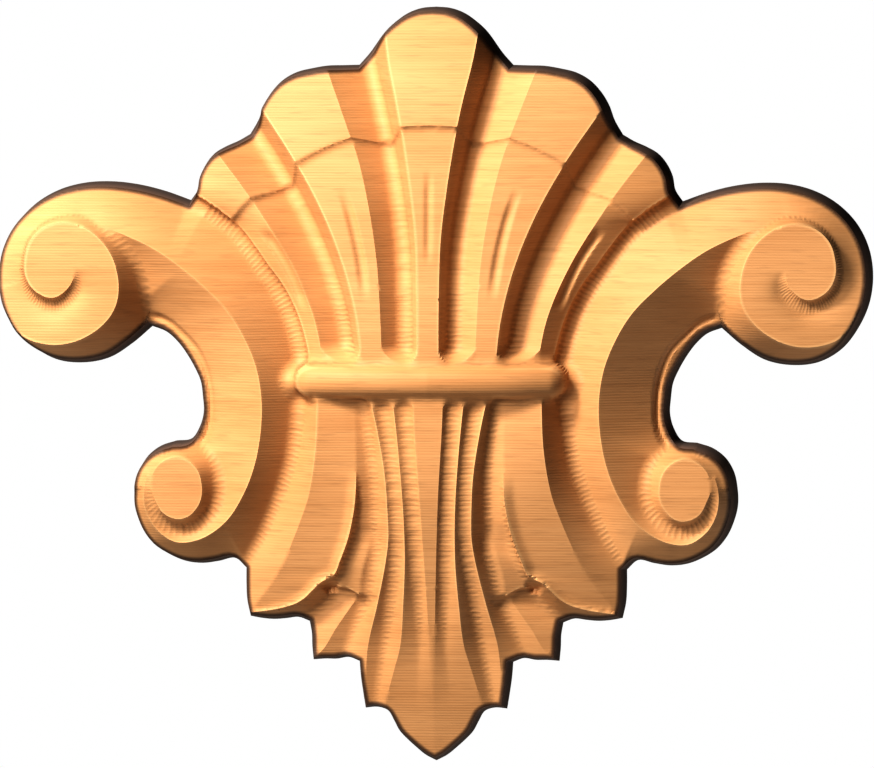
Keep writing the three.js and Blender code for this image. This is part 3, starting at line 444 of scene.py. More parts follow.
@dataclass
class Spray:
    """The leaves below the band, down to the tip."""

    strip: Pairs = ((-72, 0.1), (-40, 1.4), (-26, 2.1), (-5, 3.35), (5, 3.4))
    ridge_1: Pairs = ((-80, 13), (-72, 10.8), (-65, 8.8), (-60, 7.4), (-50, 6.4), (-40, 5.8),
                      (-30, 5.9), (-20, 6.5), (-10, 7.4), (0, 8.5))
    ridge_2: Pairs = ((-74, 15.9), (-65, 15.5), (-60, 15), (-50, 12.5), (-40, 10.3), (-35, 9.6),
                      (-30, 9.6), (-20, 10.2), (-10, 11.8), (0, 14))
    leaf_edge: Pairs = ((-52.5, 42.5), (-51.9, 38), (-51.3, 35), (-50.3, 31.8), (-49, 29.6),
                        (-47, 27.5), (-45, 25.3), (-43.6, 22.6), (-40, 20.9), (-35, 19),
                        (-30, 17.8), (-25, 17.1), (-10, 17.1), (0, 17.4))
    leaf_ridge: Pairs = ((-52.9, 42.9), (-50, 40.7), (-45, 36.8), (-40, 33.9), (-35, 31.7),
                         (-30, 29.7), (-25, 28), (-15, 26.3), (-5, 25.8), (2, 25.8))
    b_ridge: Pairs = ((-48.1, 16.9), (-43.5, 16.3), (-40, 15.3), (-35, 13.9))
    b_lower: Pairs = ((16.9, -48.1), (19.5, -46.7), (24, -46.1))
    c_ridge: Pairs = ((-62.8, 27.5), (-61, 25.6), (-56.3, 22.7), (-52.8, 20.3), (-48.4, 17.2))
    strip_top: Pairs = ((-87, 4.2), (-72, 8.3), (-60, 11.3), (-50, 13.8), (-40, 16.5),
                        (-25, 20), (-5, 21.6), (5, 21.6))
    groove_1: Pairs = ((-74, 0.2), (-60, 0.9), (-45, 2), (-30, 3), (-5, 3.2))
    ridge_1_top: Pairs = ((-80, 5.4), (-73, 7.6), (-65, 9.6), (-55, 12.6), (-40, 16.6),
                          (-25, 19.4), (-5, 20.8))
    groove_2: Pairs = ((-74, 0.5), (-60, 1.2), (-45, 2), (-30, 2.2), (-5, 2.2))
    ridge_2_top: Pairs = ((-74, 6.8), (-66, 8), (-58, 9.6), (-50, 12), (-38, 15.8), (-25, 18.6),
                          (-5, 19.8))
    groove_3: Pairs = ((-62, 7.4), (-50, 9.2), (-44, 10.4), (-35, 12.6), (-20, 15), (-5, 16.2))
    leaf_edge_top: Pairs = ((-52.5, 7.9), (-50, 10), (-47, 11.4), (-44, 12.6), (-35, 14.8),
                            (-25, 16.4), (-15, 17), (0, 16.8))
    leaf_ridge_top: Pairs = ((-53, 7.6), (-45, 10.6), (-40, 12.4), (-28, 15.6), (-12, 18),
                             (-3, 17.8), (0, 17.5))
    b_ridge_top: Pairs = ((-48.1, 9.9), (-40, 12.4), (-35, 13))
    c_ridge_top: Pairs = ((-63, 6.8), (-56, 7.6), (-48, 8))
    c_side_drop: float = 3.0
    leaf_step: Pairs = ((-50, 3.4), (-46, 3), (-42, 2), (-36, 1.1), (-28, 0.5), (-20, 0))
    leaf_wall: Pairs = ((-52, 1.5), (-47, 1.8), (-44, 3), (-38, 2.4), (-25, 2))
    bevel_width: float = 2.1
    bevel_rise: float = 0.9
    groove_end: float = -2.9
    groove_end_radius: float = 2.2

    def scoop(self, x: Array, z: Array, left: Array, share: float, right: Array,
              depth: Array) -> Array:
        """Return the depth of a V groove with a round upper end.

        With v the distance from the groove's axis in shares of its own side's width, the depth
        is its value on the axis times 1 - |v|. At the upper end v grows with the distance above
        the end's centre.

        Args:
            x: Places across.
            z: Places up.
            left: The groove's inner edge.
            share: Where the axis lies between the two edges.
            right: The groove's outer edge.
            depth: The depth on the axis.
        """
        axis = mix(left, right, share)
        above = np.maximum(0, z - self.groove_end + self.groove_end_radius)
        v = np.hypot((x - axis) / np.where(x < axis, axis - left, right - axis),
                     above / self.groove_end_radius)
        return depth * np.maximum(0, 1 - v)

    def height(self, x: Array, z: Array, foot_x: Array, foot: Array) -> Array:
        """Return the spray's height from straight facets between its ridges and grooves.

        The strip and two ridges stand in the middle, the big leaf with its bevelled edge and
        its wall outside them, and two leaf tips between them, one below the other.

        Args:
            x: Places across.
            z: Places up.
            foot_x: Where the scroll starts.
            foot: Height of the valley there.

        Returns:
            The height.
        """
        strip = np.maximum(Profile(self.strip, Ends.RUN_ON)(z), 0.05)
        r1 = Profile(self.ridge_1, Ends.RUN_ON)(z)
        r2 = np.maximum(Profile(self.ridge_2, Ends.RUN_ON)(z), r1 + 0.4)
        h0, h1, h2 = (Profile(s)(z) for s in (self.strip_top, self.ridge_1_top, self.ridge_2_top))
        edge = Profile(self.leaf_edge)(z)
        ridge = Profile(self.leaf_ridge, Ends.RUN_ON)(z)
        top = Profile(self.leaf_ridge_top)(z)
        bevel = self.bevel_rise * smooth_step(-z, 18, 26)
        inner_top = Profile(self.leaf_edge_top)(z)
        shoulder = np.minimum(edge + self.bevel_width, mix(edge, ridge, 0.45))
        leaf = section([(edge, inner_top + bevel), (shoulder, mix(inner_top, top, 0.3)),
                        (ridge, top),
                        (np.maximum(foot_x, ridge + 1), np.minimum(foot, top - 1))], x)
        inner = section([(0 * z, h0), (strip, h0), (r1, h1), (r2, h2)], np.minimum(x, r2))
        inner = inner - self.scoop(x, z, strip, 0.35, r1,
                                   Profile(self.groove_1)(z) + 0.35 * (h1 - h0))
        inner = inner - self.scoop(x, z, r1, 0.5, r2,
                                   Profile(self.groove_2)(z) + 0.5 * np.abs(h1 - h2))
        g3 = Profile(self.groove_3)(z)
        b = np.clip(Profile(self.b_ridge, Ends.RUN_ON)(z), r2 + 1.6, edge)
        b_top = Profile(self.b_ridge_top)(z)
        beside = inner_top - Profile(self.leaf_step)(z)
        plain = section([(r2, h2), (mix(r2, edge, 0.4), g3), (edge, beside)], x)
        split = section([(r2, h2), (mix(r2, b, 0.5), g3), (b, b_top),
                         (np.maximum(edge, b + 1), np.minimum(beside, b_top - 0.6))], x)
        upper = mix(plain, split, smooth_step(-z, 31, 38))
        c = np.maximum(Profile(self.c_ridge, Ends.RUN_ON)(z), r2 + 0.6)
        c_top = Profile(self.c_ridge_top)(z)
        last = section([(r2, h2), (mix(r2, c, 0.5), np.minimum(h2, c_top) - 1), (c, c_top),
                        (c + 8, c_top - self.c_side_drop)], x)
        out = np.where(z > Profile(self.b_lower)(x), upper, last)
        out = np.where((x <= r2) | (z < -66), inner, out)
        line = path([(x_, z_, h_) for (z_, x_), h_ in
                     zip(self.leaf_edge, Profile(self.leaf_edge_top)([k[0] for k in
                                                                      self.leaf_edge]))], 0.5)
        close = np.flatnonzero((z < -20) & (np.abs(x - 28) < 17) & (z > -62))
        found = nearest(line, x[close], z[close])
        wall = found.height - Profile(self.leaf_wall)(z[close]) * found.distance
        out[close] = np.maximum(out[close], wall)
        return np.where((z > -52.5) & (x > edge), leaf, out)

    def creases(self) -> list[Array]:
        """Return the carved lines as points [x, z]."""
        run = Ends.RUN_ON
        lower = np.arange(16.9, 24, 0.1)
        return [
            down_the_ribs(Profile(self.strip, run), -71, -2.4),
            down_the_ribs(Profile(self.ridge_1, run), -75, -2.4),
            down_the_ribs(Profile(self.ridge_2, run), -72, -2.4),
            down_the_ribs(Profile(self.leaf_ridge, run), -52, -2.4),
            down_the_ribs(Profile(self.b_ridge, run), -48, -38),
            down_the_ribs(Profile(self.c_ridge, run), -62, -49),
            path([(x, z) for z, x in self.leaf_edge], 0.1),
            np.c_[lower, Profile(self.b_lower)(lower)],
        ]


@dataclass
class Volute:
    """A step that winds round a flat eye; its radius is a profile of the angle in degrees."""

    eye: tuple[float, float]
    turn: Pairs
    top: float
    foot: Pairs
    rise: Pairs

    def polar(self, x: Array, z: Array) -> tuple[Array, Array]:
        """Return the distance from the eye and the angle in degrees, -180 to 180."""
        dx, dz = x - self.eye[0], z - self.eye[1]
        return np.hypot(dx, dz), np.degrees(np.arctan2(dz, dx))

    def line(self, start: float, end: float, step: float = 1.0) -> Array:
        """Return rows x, z, angle along the step between two angles.

        Args:
            start: First angle in degrees.
            end: Last angle.
            step: Spacing in millimetres.

        Returns:
            One row for each point.
        """
        turn = Profile(self.turn)
        arc = abs(end - start) * math.pi / 180 * float(turn((start + end) / 2))
        a = np.linspace(start, end, max(2, int(round(arc / step))) + 1)
        r = turn(a)
        return np.c_[self.eye[0] + r * np.cos(np.radians(a)),
                     self.eye[1] + r * np.sin(np.radians(a)), a]


@dataclass
class Scroll:
    """The C-scroll: an arm with a sharp crest between a big upper and a small lower volute."""

    big: Volute = field(default_factory=lambda: Volute(
        eye=(87.4, 26.7),
        turn=((175, 5.8), (230, 6), (262, 6.4), (300, 5.9), (350, 5.7), (390, 6.4), (420, 8.2),
              (450, 10.3), (480, 12.1), (510, 13.7), (540, 15.5), (570, 17.4), (600, 17.5),
              (630, 17.2), (658, 16.3), (671, 14.85), (689, 13.6), (700, 13.2)),
        top=19.8,
        foot=((180, 19.8), (195, 18.8), (220, 16.4), (262, 14.8), (300, 15.6), (340, 17.2),
              (400, 17.6), (450, 17.4), (480, 17)),
        rise=((180, 2.4), (300, 3), (400, 4.2), (450, 3), (480, 2), (560, 1.9), (586, 2.1),
              (600, 2.5), (630, 3.2), (650, 4), (658, 4.2))))
    small: Volute = field(default_factory=lambda: Volute(
        eye=(58.4, -23.3),
        turn=((-360, 6), (-342, 6.2), (-313, 6.6), (-270, 6.9), (-225, 6.2), (-185, 5.7),
              (-140, 6.4), (-100, 7.3), (-64, 6.8), (-31, 5.8), (0, 6)),
        top=16.0,
        foot=((-342, 14.6), (-313, 12), (-270, 9.4), (-225, 8.6), (-185, 8.6), (-140, 9),
              (-100, 9.8), (-64, 11), (-31, 13.2), (0, 15.8)),
        rise=((-360, 0.5), (-342, 0.6), (-313, 1.1), (-285, 2.2), (-260, 2.4), (-225, 1.7),
              (-120, 1.7), (-60, 2), (0, 2.4))))
    valley: Pairs = ((-43, 44.3), (-39.6, 42.6), (-35.5, 40.1), (-26.2, 35.9), (-17, 32.4),
                     (-7.8, 30.8), (0, 30.2), (7.4, 30.2), (13.3, 31.7), (19, 34), (24.3, 37.2),
                     (29.1, 40.8), (33.6, 44.8), (37.7, 49.6), (40, 53), (42.5, 57))
    valley_floor: Pairs = ((-43, 7), (-30, 8.2), (-20, 9), (-8, 9.4), (0, 8.8), (7, 7.8),
                           (19, 7.2), (30, 7.2), (42.5, 6.8))
    crest: tuple = (
        (81.4, 37.2, 17), (76, 36.6, 17), (70.2, 34.6, 17), (63.5, 31.4, 17), (57.4, 27.2, 17),
        (51.7, 22.4, 17), (46.5, 17.1, 17), (42.6, 10.8, 16.9), (39.9, 3.9, 16.8),
        (38.8, -3.4, 16.6), (39.1, -10.8, 16.3), (40.5, -18.1, 15.9), (43.2, -25, 15.3),
        (47.3, -31.2, 14.6), (53.3, -35.3, 14), (59, -36, 13.8), (63.3, -33.2, 14),
        (65.5, -29.5, 14.6), (66.2, -26, 15.2), (66, -23, 15.5), (65.3, -20.6, 15.6))
    foot: tuple = (
        (81.4, 37.2, 17), (77.3, 35.2, 15.6), (73.9, 31.6, 13.2), (71.9, 26.7, 9.9),
        (71.5, 20.9, 7.4), (72.4, 15.3, 6.6), (76.3, 9.4, 6.4))
    bay_rim: tuple = (
        (71, 10.6, 6.6), (65.9, 14.4, 6.6), (62, 13, 6.6), (59.2, 10.3, 6.6), (57, 7.3, 6.7),
        (55.1, 4, 6.8), (53.7, 0.8, 6.8), (53.1, -3, 6.8), (52.9, -6.7, 6.8), (53.8, -10.6, 6.8),
        (56, -13.8, 7), (60.3, -14.4, 7.6), (63.6, -15.6, 9), (66.4, -17.8, 11))
    top_rim: tuple = (
        (57, 41.4, 6.4), (62.9, 43.4, 8.4), (69, 44.9, 10.2), (75.1, 45.6, 11.4),
        (81.3, 45.3, 12), (87, 43.7, 12.2), (92.1, 40.8, 12.6), (96.2, 36.5, 13.4),
        (98.8, 31.3, 14.2), (99.7, 25.3, 15), (98.8, 19.7, 16.2), (96.9, 15.6, 17),
        (94.9, 12.5, 17.6))
    low_rim: tuple = (
        (44.9, -41, 7), (50.3, -40.1, 7.8), (54.2, -40.6, 8.2), (57.8, -40.2, 8.6),
        (61.1, -38.9, 9), (64.1, -37, 9.6), (66.3, -34.3, 10.2), (67.8, -31, 10.9),
        (68.7, -27.5, 11.6), (68.6, -24, 12.2), (67.9, -20.6, 12.2), (66.4, -17.8, 11))
    second_rim: Pairs = ((175, 19.8), (240, 19.3), (270, 18.6), (298, 17.6), (311, 17),
                         (328, 16.2), (340, 15.7))
    roundness: Pairs = ((175, 4), (240, 3.4), (290, 2.6), (340, 1.5), (390, 1.1), (430, 1))
    second_end: float = 340.0
    big_reach: float = 30.0
    small_reach: float = 14.0
    mark_reach: float = 7.0
    under_floor: Pairs = ((226, 6.4), (240, 4.6), (260, 3), (298, 3))

    def __post_init__(self) -> None:
        """Join the lines that the surfaces hang between."""
        step = 0.8
        z, x = np.array(self.valley, float)[-2::-1].T
        self.valley_line = path(np.c_[x, z, Profile(self.valley_floor)(z)], step)
        turn = self.big.line(self.second_end, 478, step)
        turn[:, 2] = Profile(self.big.foot)(turn[:, 2])
        self.crest_line = np.r_[turn, path(self.crest, step)]
        self.outer_line = np.r_[path(self.top_rim, step)[::-1], self.valley_line,
                                path(self.low_rim, step)]
        eye = self.small.line(-342, 0, step)
        eye[:, 2] = Profile(self.small.foot)(eye[:, 2])
        self.inner_lines = [path(self.foot, step), path(self.bay_rim, step), eye]

    def foot_x(self, z: Array) -> Array:
        """Return x of the valley between the scroll and what lies inside it."""
        return Profile(self.valley)(z)

    def height(self, x: Array, z: Array) -> Array:
        """Return the scroll's height.

        A facet hangs between the crest and the nearest outer or inner line: the height is the
        crest's at the crest and the line's at the line, in proportion to the two distances.
        Round each eye a steep wall falls from the flat top, and the second turn of the big
        volute is a band that is hollowed towards the first turn's foot.

        Args:
            x: Places across.
            z: Places up.

        Returns:
            The height.
        """
        crest = nearest(self.crest_line, x, z)
        outer = nearest(self.outer_line, x, z)
        inner = [nearest(line, x, z) for line in self.inner_lines]
        gaps = np.stack([n.distance for n in inner])
        weight = 1 / (gaps + 0.05) ** 4
        in_distance = gaps.min(0)
        in_height = (weight * np.stack([n.height for n in inner])).sum(0) / weight.sum(0)
        outside = crest.side < 0
        reach, angle = self.big.polar(x, z)
        angle = angle + 360
        angle = np.where(angle < 180, angle + 360, angle)
        other = np.where(outside, outer.distance, in_distance)
        level = np.where(outside, outer.height, in_height)
        t = crest.distance / np.maximum(crest.distance + other, 1e-6)
        bend = np.where(outside & (reach < self.big_reach), Profile(self.roundness)(angle), 1)
        height = mix(level, crest.height, (1 - t) ** bend)
        beyond = outside & (outer.side < 0) & (outer.distance > 0.1)
        height = np.where(beyond, outer.height - WALL_RISE * outer.distance, height)
        under = (reach < self.big_reach) & (angle > self.under_floor[0][0])
        under &= angle < self.under_floor[-1][0]
        height = np.where(under, Profile(self.under_floor)(angle), height)
        height = self.small_eye(x, z, height)
        return self.big_eye(reach, angle, height)

    def along(self, x: Array, z: Array) -> Array:
        """Return the place along the hollows: up, along the valley or round a volute's eye.

        Args:
            x: Places across.
            z: Places up.

        Returns:
            The place in millimetres.
        """
        out = z.copy()
        close = np.flatnonzero(np.abs(x - self.foot_x(z)) < self.mark_reach)
        length = np.hypot(*np.diff(self.valley_line[:, :2], axis=0).T).sum()
        out[close] = nearest(self.valley_line, x[close], z[close]).share * length
        for volute, radius, limit in ((self.big, 14.0, 24.0), (self.small, 9.0, 13.0)):
            reach, angle = volute.polar(x, z)
            out = np.where(reach < limit, np.radians(angle % 360) * radius, out)
        return out

    def small_eye(self, x: Array, z: Array, height: Array) -> Array:
        """Return the height with the small volute's flat eye and its wall.

        Args:
            x: Places across.
            z: Places up.
            height: Height without the eye.

        Returns:
            The height with it.
        """
        reach, angle = self.small.polar(x, z)
        angle = np.where(angle > 0, angle - 360, angle)
        edge = Profile(self.small.turn)(angle)
        wall = self.small.top - Profile(self.small.rise)(angle) * (reach - edge)
        height = np.where(reach < self.small_reach, np.maximum(height, wall), height)
        return np.where(reach < edge, self.small.top, height)

    def big_eye(self, reach: Array, angle: Array, height: Array) -> Array:
        """Return the height with the big volute's flat disc, its second turn and both walls.

        Args:
            reach: Distance from the eye.
            angle: Angle in degrees, 180 to 540.
            height: Height without the disc.

        Returns:
            The height with it.
        """
        turn = Profile(self.big.turn)
        second = angle < self.second_end
        foot = turn(angle)
        edge = np.where(second, turn(angle + 360), foot)
        rim = Profile(self.second_rim)(angle)
        t = np.clip((reach - foot) / np.maximum(edge - foot, 1e-3), 0, 1)
        hollow = mix(rim, Profile(self.big.foot)(angle), (1 - t) ** Profile(self.roundness)(angle))
        rise = Profile(self.big.rise)
        hollow = np.maximum(hollow, self.big.top - rise(angle) * (reach - foot))
        wall = np.where(second, rim, self.big.top) \
            - rise(np.where(second, angle + 360, angle)) * (reach - edge)
        height = np.where(reach < self.big_reach, np.maximum(height, wall), height)
        disc = np.where(second & (reach >= foot), hollow, self.big.top)
        return np.where((reach < self.big_reach) & (reach < edge), disc, height)

    def creases(self) -> list[Array]:
        """Return the carved lines as points [x, z]."""
        return [path([k[:2] for k in self.crest], 0.1), self.big.line(182, 654, 0.1)[:, :2],
                self.small.line(-335, -4, 0.1)[:, :2]]


@dataclass(frozen=True)
class Cut:
    """A shallow groove or raised lip along a line, tapered at both ends."""

    knots: tuple
    half_width: float
    depth: float
    taper: float = 0.15

    def height(self, x: Array, z: Array) -> Array:
        """Return depth times (1 - (d / half width)^2), faded in and out along the line.

        Args:
            x: Places across.
            z: Places up.

        Returns:
            What is added to the height.
        """
        line = path([(*k, 0.0) for k in self.knots], 1.0)
        out = np.zeros(len(x))
        lo, hi = line[:, :2].min(0) - self.half_width, line[:, :2].max(0) + self.half_width
        near = np.flatnonzero((x > lo[0]) & (x < hi[0]) & (z > lo[1]) & (z < hi[1]))
        found = nearest(line, x[near], z[near])
        fade = smooth_step(np.minimum(found.share, 1 - found.share), 0, self.taper)
        shape = np.maximum(0, 1 - (found.distance / self.half_width) ** 2)
        out[near] = -self.depth * shape * fade
        return out


@dataclass
class Surface:
    """Values on a grid over the face, read in proportion between four cells."""

    cell: float
    left: float
    low: float
    height: Array
    bulge: Array

    def read(self, grid: Array, x: Array, z: Array) -> Array:
        """Return the values of one of the grids at points of the face.

        Args:
            grid: Either of the two grids.
            x: Places across.
            z: Places up.

        Returns:
            One value for each point.
        """
        u, v = (x - self.left) / self.cell, (z - self.low) / self.cell
        i = np.clip(v.astype(int), 0, grid.shape[0] - 2)
        j = np.clip(u.astype(int), 0, grid.shape[1] - 2)
        fv, fu = v - i, u - j
        under = mix(grid[i, j], grid[i, j + 1], fu)
        return mix(under, mix(grid[i + 1, j], grid[i + 1, j + 1], fu), fv)


@dataclass
class Carving:
    """The whole face: all sub-assemblies, rounded by the cutter, with the fine cuts on top."""

    outline: Outline = field(default_factory=Outline)
    band: Band = field(default_factory=Band)
    shell: Shell = field(default_factory=Shell)
    spray: Spray = field(default_factory=Spray)
    scroll: Scroll = field(default_factory=Scroll)
    cutter: float = 2.6
    cell: float = 0.25
    across: tuple[float, float] = (-4, 103)
    up: tuple[float, float] = (-89, 89)
    cuts: tuple = (
        Cut(((0, 51), (0, 40), (0, 27)), 1.0, 0.45, 0.3),
        Cut(((20.6, 46.4), (18.4, 40), (16.8, 34), (15.6, 28), (14.4, 19)), 1.2, 0.6, 0.3),
        Cut(((39.5, 36.6), (36.4, 32.6), (33.9, 28.7), (30.7, 22.2), (28.8, 17)), 1.3, 0.9, 0.2),
        Cut(((66, 16.4), (61.5, 14.7), (57.8, 11.6), (54.6, 8.1), (52.6, 3.7), (51.6, -1.1),
             (51.4, -5.9), (52.1, -10.7), (54.4, -14.8)), 0.9, 0.7, 0.08),
        Cut(((21.6, -46.9), (23.4, -46.3), (25.4, -47.4)), 1.5, 2.4, 0.3),
    )

    def raw(self, x: Array, z: Array) -> Array:
        """Return the height of the sharp forms.

        Args:
            x: Places across.
            z: Places up.

        Returns:
            The height.
        """
        foot_x = self.scroll.foot_x(z)
        foot = Profile(self.scroll.valley_floor)(z)
        shell = self.shell.height(x, z, foot_x, foot)
        spray = self.spray.height(x, z, foot_x, foot)
        height = np.where(z > self.band.level, shell, spray)
        scroll = np.flatnonzero((z > -43) & (x > foot_x))
        height[scroll] = self.scroll.height(x[scroll], z[scroll])
        return self.band.height(x, z, height)

    def rounded(self) -> Surface:
        """Roll a ball of the cutter's radius over the sharp forms.

        The ball's centre surface is the largest of the heights under it plus the ball's own
        height there; the rounded surface is the smallest of the centre surface minus the same.

        Returns:
            The rounded surface and how far it stands above its own mean round about.
        """
        xs = np.arange(*self.across, self.cell)
        zs = np.arange(*self.up, self.cell)
        gx, gz = np.meshgrid(np.abs(xs), zs)
        sharp = self.raw(gx.ravel(), gz.ravel()).reshape(gx.shape)
        reach = int(self.cutter / self.cell)
        dz, dx = np.mgrid[-reach:reach + 1, -reach:reach + 1]
        gap = (dz ** 2 + dx ** 2) * self.cell ** 2
        ball = [(i, j, math.sqrt(self.cutter ** 2 - g)) for i, j, g in
                zip(dz[gap <= self.cutter ** 2], dx[gap <= self.cutter ** 2],
                    gap[gap <= self.cutter ** 2])]
        rows, columns = sharp.shape

        def sweep(field_: Array, sign: int) -> Array:
            """Return the largest (sign 1) or smallest (sign -1) of field and ball."""
            wide = np.pad(field_, reach, mode="edge")
            out = np.full(field_.shape, -sign * 1e9)
            best = np.maximum if sign > 0 else np.minimum
            for i, j, up in ball:
                part = wide[reach + i:reach + i + rows, reach + j:reach + j + columns]
                best(out, part + sign * up, out=out)
            return out

        closed = sweep(sweep(sharp, 1), -1)
        mean = closed
        for axis in (0, 1, 0, 1):
            mean = sum(np.roll(mean, k, axis) for k in range(-2, 3)) / 5
        return Surface(self.cell, xs[0], zs[0], closed, closed - mean)

    def creases(self) -> list[Array]:
        """Return every line that stays sharp, as points [x, z] 0.1 mm apart."""
        return [*self.band.creases(), *self.shell.creases(), *self.spray.creases(),
                *self.scroll.creases()]


def inside(polygon: Array, x: Array, z: Array, chunk: int = 4000) -> Array:
    """Tell which points lie inside a closed polygon, by counting the edges above each.

    Args:
        polygon: Rows x, z.
        x: Places across.
        z: Places up.
        chunk: How many points are worked on together.

    Returns:
        True for every point inside.
    """
    a, b = polygon, np.roll(polygon, -1, axis=0)
    out = np.empty(len(x), bool)
    for i in range(0, len(x), chunk):
        px, pz = x[i:i + chunk, None], z[i:i + chunk, None]
        spans = (a[:, 1] > pz) != (b[:, 1] > pz)
        with np.errstate(divide="ignore", invalid="ignore"):
            cross = (b[:, 0] - a[:, 0]) * (pz - a[:, 1]) / (b[:, 1] - a[:, 1]) + a[:, 0]
        out[i:i + chunk] = (spans & (px < cross)).sum(1) % 2 == 1
    return out


class Finish(Enum):
    """How a surface of the wood is coloured: carved wood, painted shade on the walls, or plain
    wood.
    """

    CARVED = "carved"
    SHADED_WALL = "painted_wall_shade"
    PLAIN = "plain"


class Graph:
    """A small helper that adds linked nodes to a tree."""

    def __init__(self, tree: bpy.types.NodeTree) -> None:
        """Keep the tree."""
        self.tree = tree

    def node(self, kind: str, **values: object) -> bpy.types.Node:
        """Add a node and set its properties.

        Args:
            kind: The node's type.
            **values: Properties by name.

        Returns:
            The node.
        """
        made = self.tree.nodes.new(kind)
        for name, value in values.items():
            setattr(made, name, value)
        return made

    def feed(self, value: object, socket: bpy.types.NodeSocket) -> None:
        """Link a socket, or set a number or colour as the default.

        Args:
            value: Socket, number or colour.
            socket: The input to feed.
        """
        if isinstance(value, bpy.types.NodeSocket):
            self.tree.links.new(value, socket)
        else:
            socket.default_value = value

    def math(self, operation: str, *values: object) -> bpy.types.NodeSocket:
        """Add a math node with up to three inputs and return its output.

        Args:
            operation: The node's operation.
            *values: What feeds its inputs.

        Returns:
            Its output.
        """
        made = self.node("ShaderNodeMath", operation=operation)
        for value, socket in zip(values, made.inputs):
            self.feed(value, socket)
        return made.outputs[0]

    def blend(self, share: object, first: object, second: object) -> bpy.types.NodeSocket:
        """Mix two colours by a share and return the output.

        Args:
            share: 0 for the first colour, 1 for the second.
            first: A colour.
            second: Another colour.

        Returns:
            The mixed colour.
        """
        made = self.node("ShaderNodeMix", data_type="RGBA")
        for name, value in (("Factor", share), ("A", first), ("B", second)):
            self.feed(value, next(s for s in made.inputs if s.name == name and s.enabled))
        return made.outputs["Result"]

    def rising(self, value: object, low: float, high: float) -> bpy.types.NodeSocket:
        """Return 0 below low, 1 above high and a smooth rise between.

        Args:
            value: What is read.
            low: Where the rise starts.
            high: Where it ends.

        Returns:
            The share.
        """
        made = self.node("ShaderNodeMapRange", interpolation_type="SMOOTHSTEP")
        self.feed(value, made.inputs["Value"])
        made.inputs["From Min"].default_value = low
        made.inputs["From Max"].default_value = high
        return made.outputs["Result"]

    def noise(self, scale: tuple[float, float, float], detail: float = 2.0) -> bpy.types.NodeSocket:
        """Return noise stretched along the axes by one over the scale, in cells a metre.

        Args:
            scale: Cells a metre along x, y and z.
            detail: Octaves.

        Returns:
            The noise.
        """
        place = self.node("ShaderNodeTexCoord")
        stretch = self.node("ShaderNodeMapping")
        stretch.inputs["Scale"].default_value = scale
        self.tree.links.new(place.outputs["Object"], stretch.inputs["Vector"])
        made = self.node("ShaderNodeTexNoise")
        made.inputs["Scale"].default_value = 1.0
        made.inputs["Detail"].default_value = detail
        self.tree.links.new(stretch.outputs[0], made.inputs["Vector"])
        return made.outputs["Fac"]

    def mask(self, name: str) -> bpy.types.NodeSocket:
        """Return a mask that is stored on the mesh."""
        return self.node("ShaderNodeAttribute", attribute_name=name).outputs["Fac"]


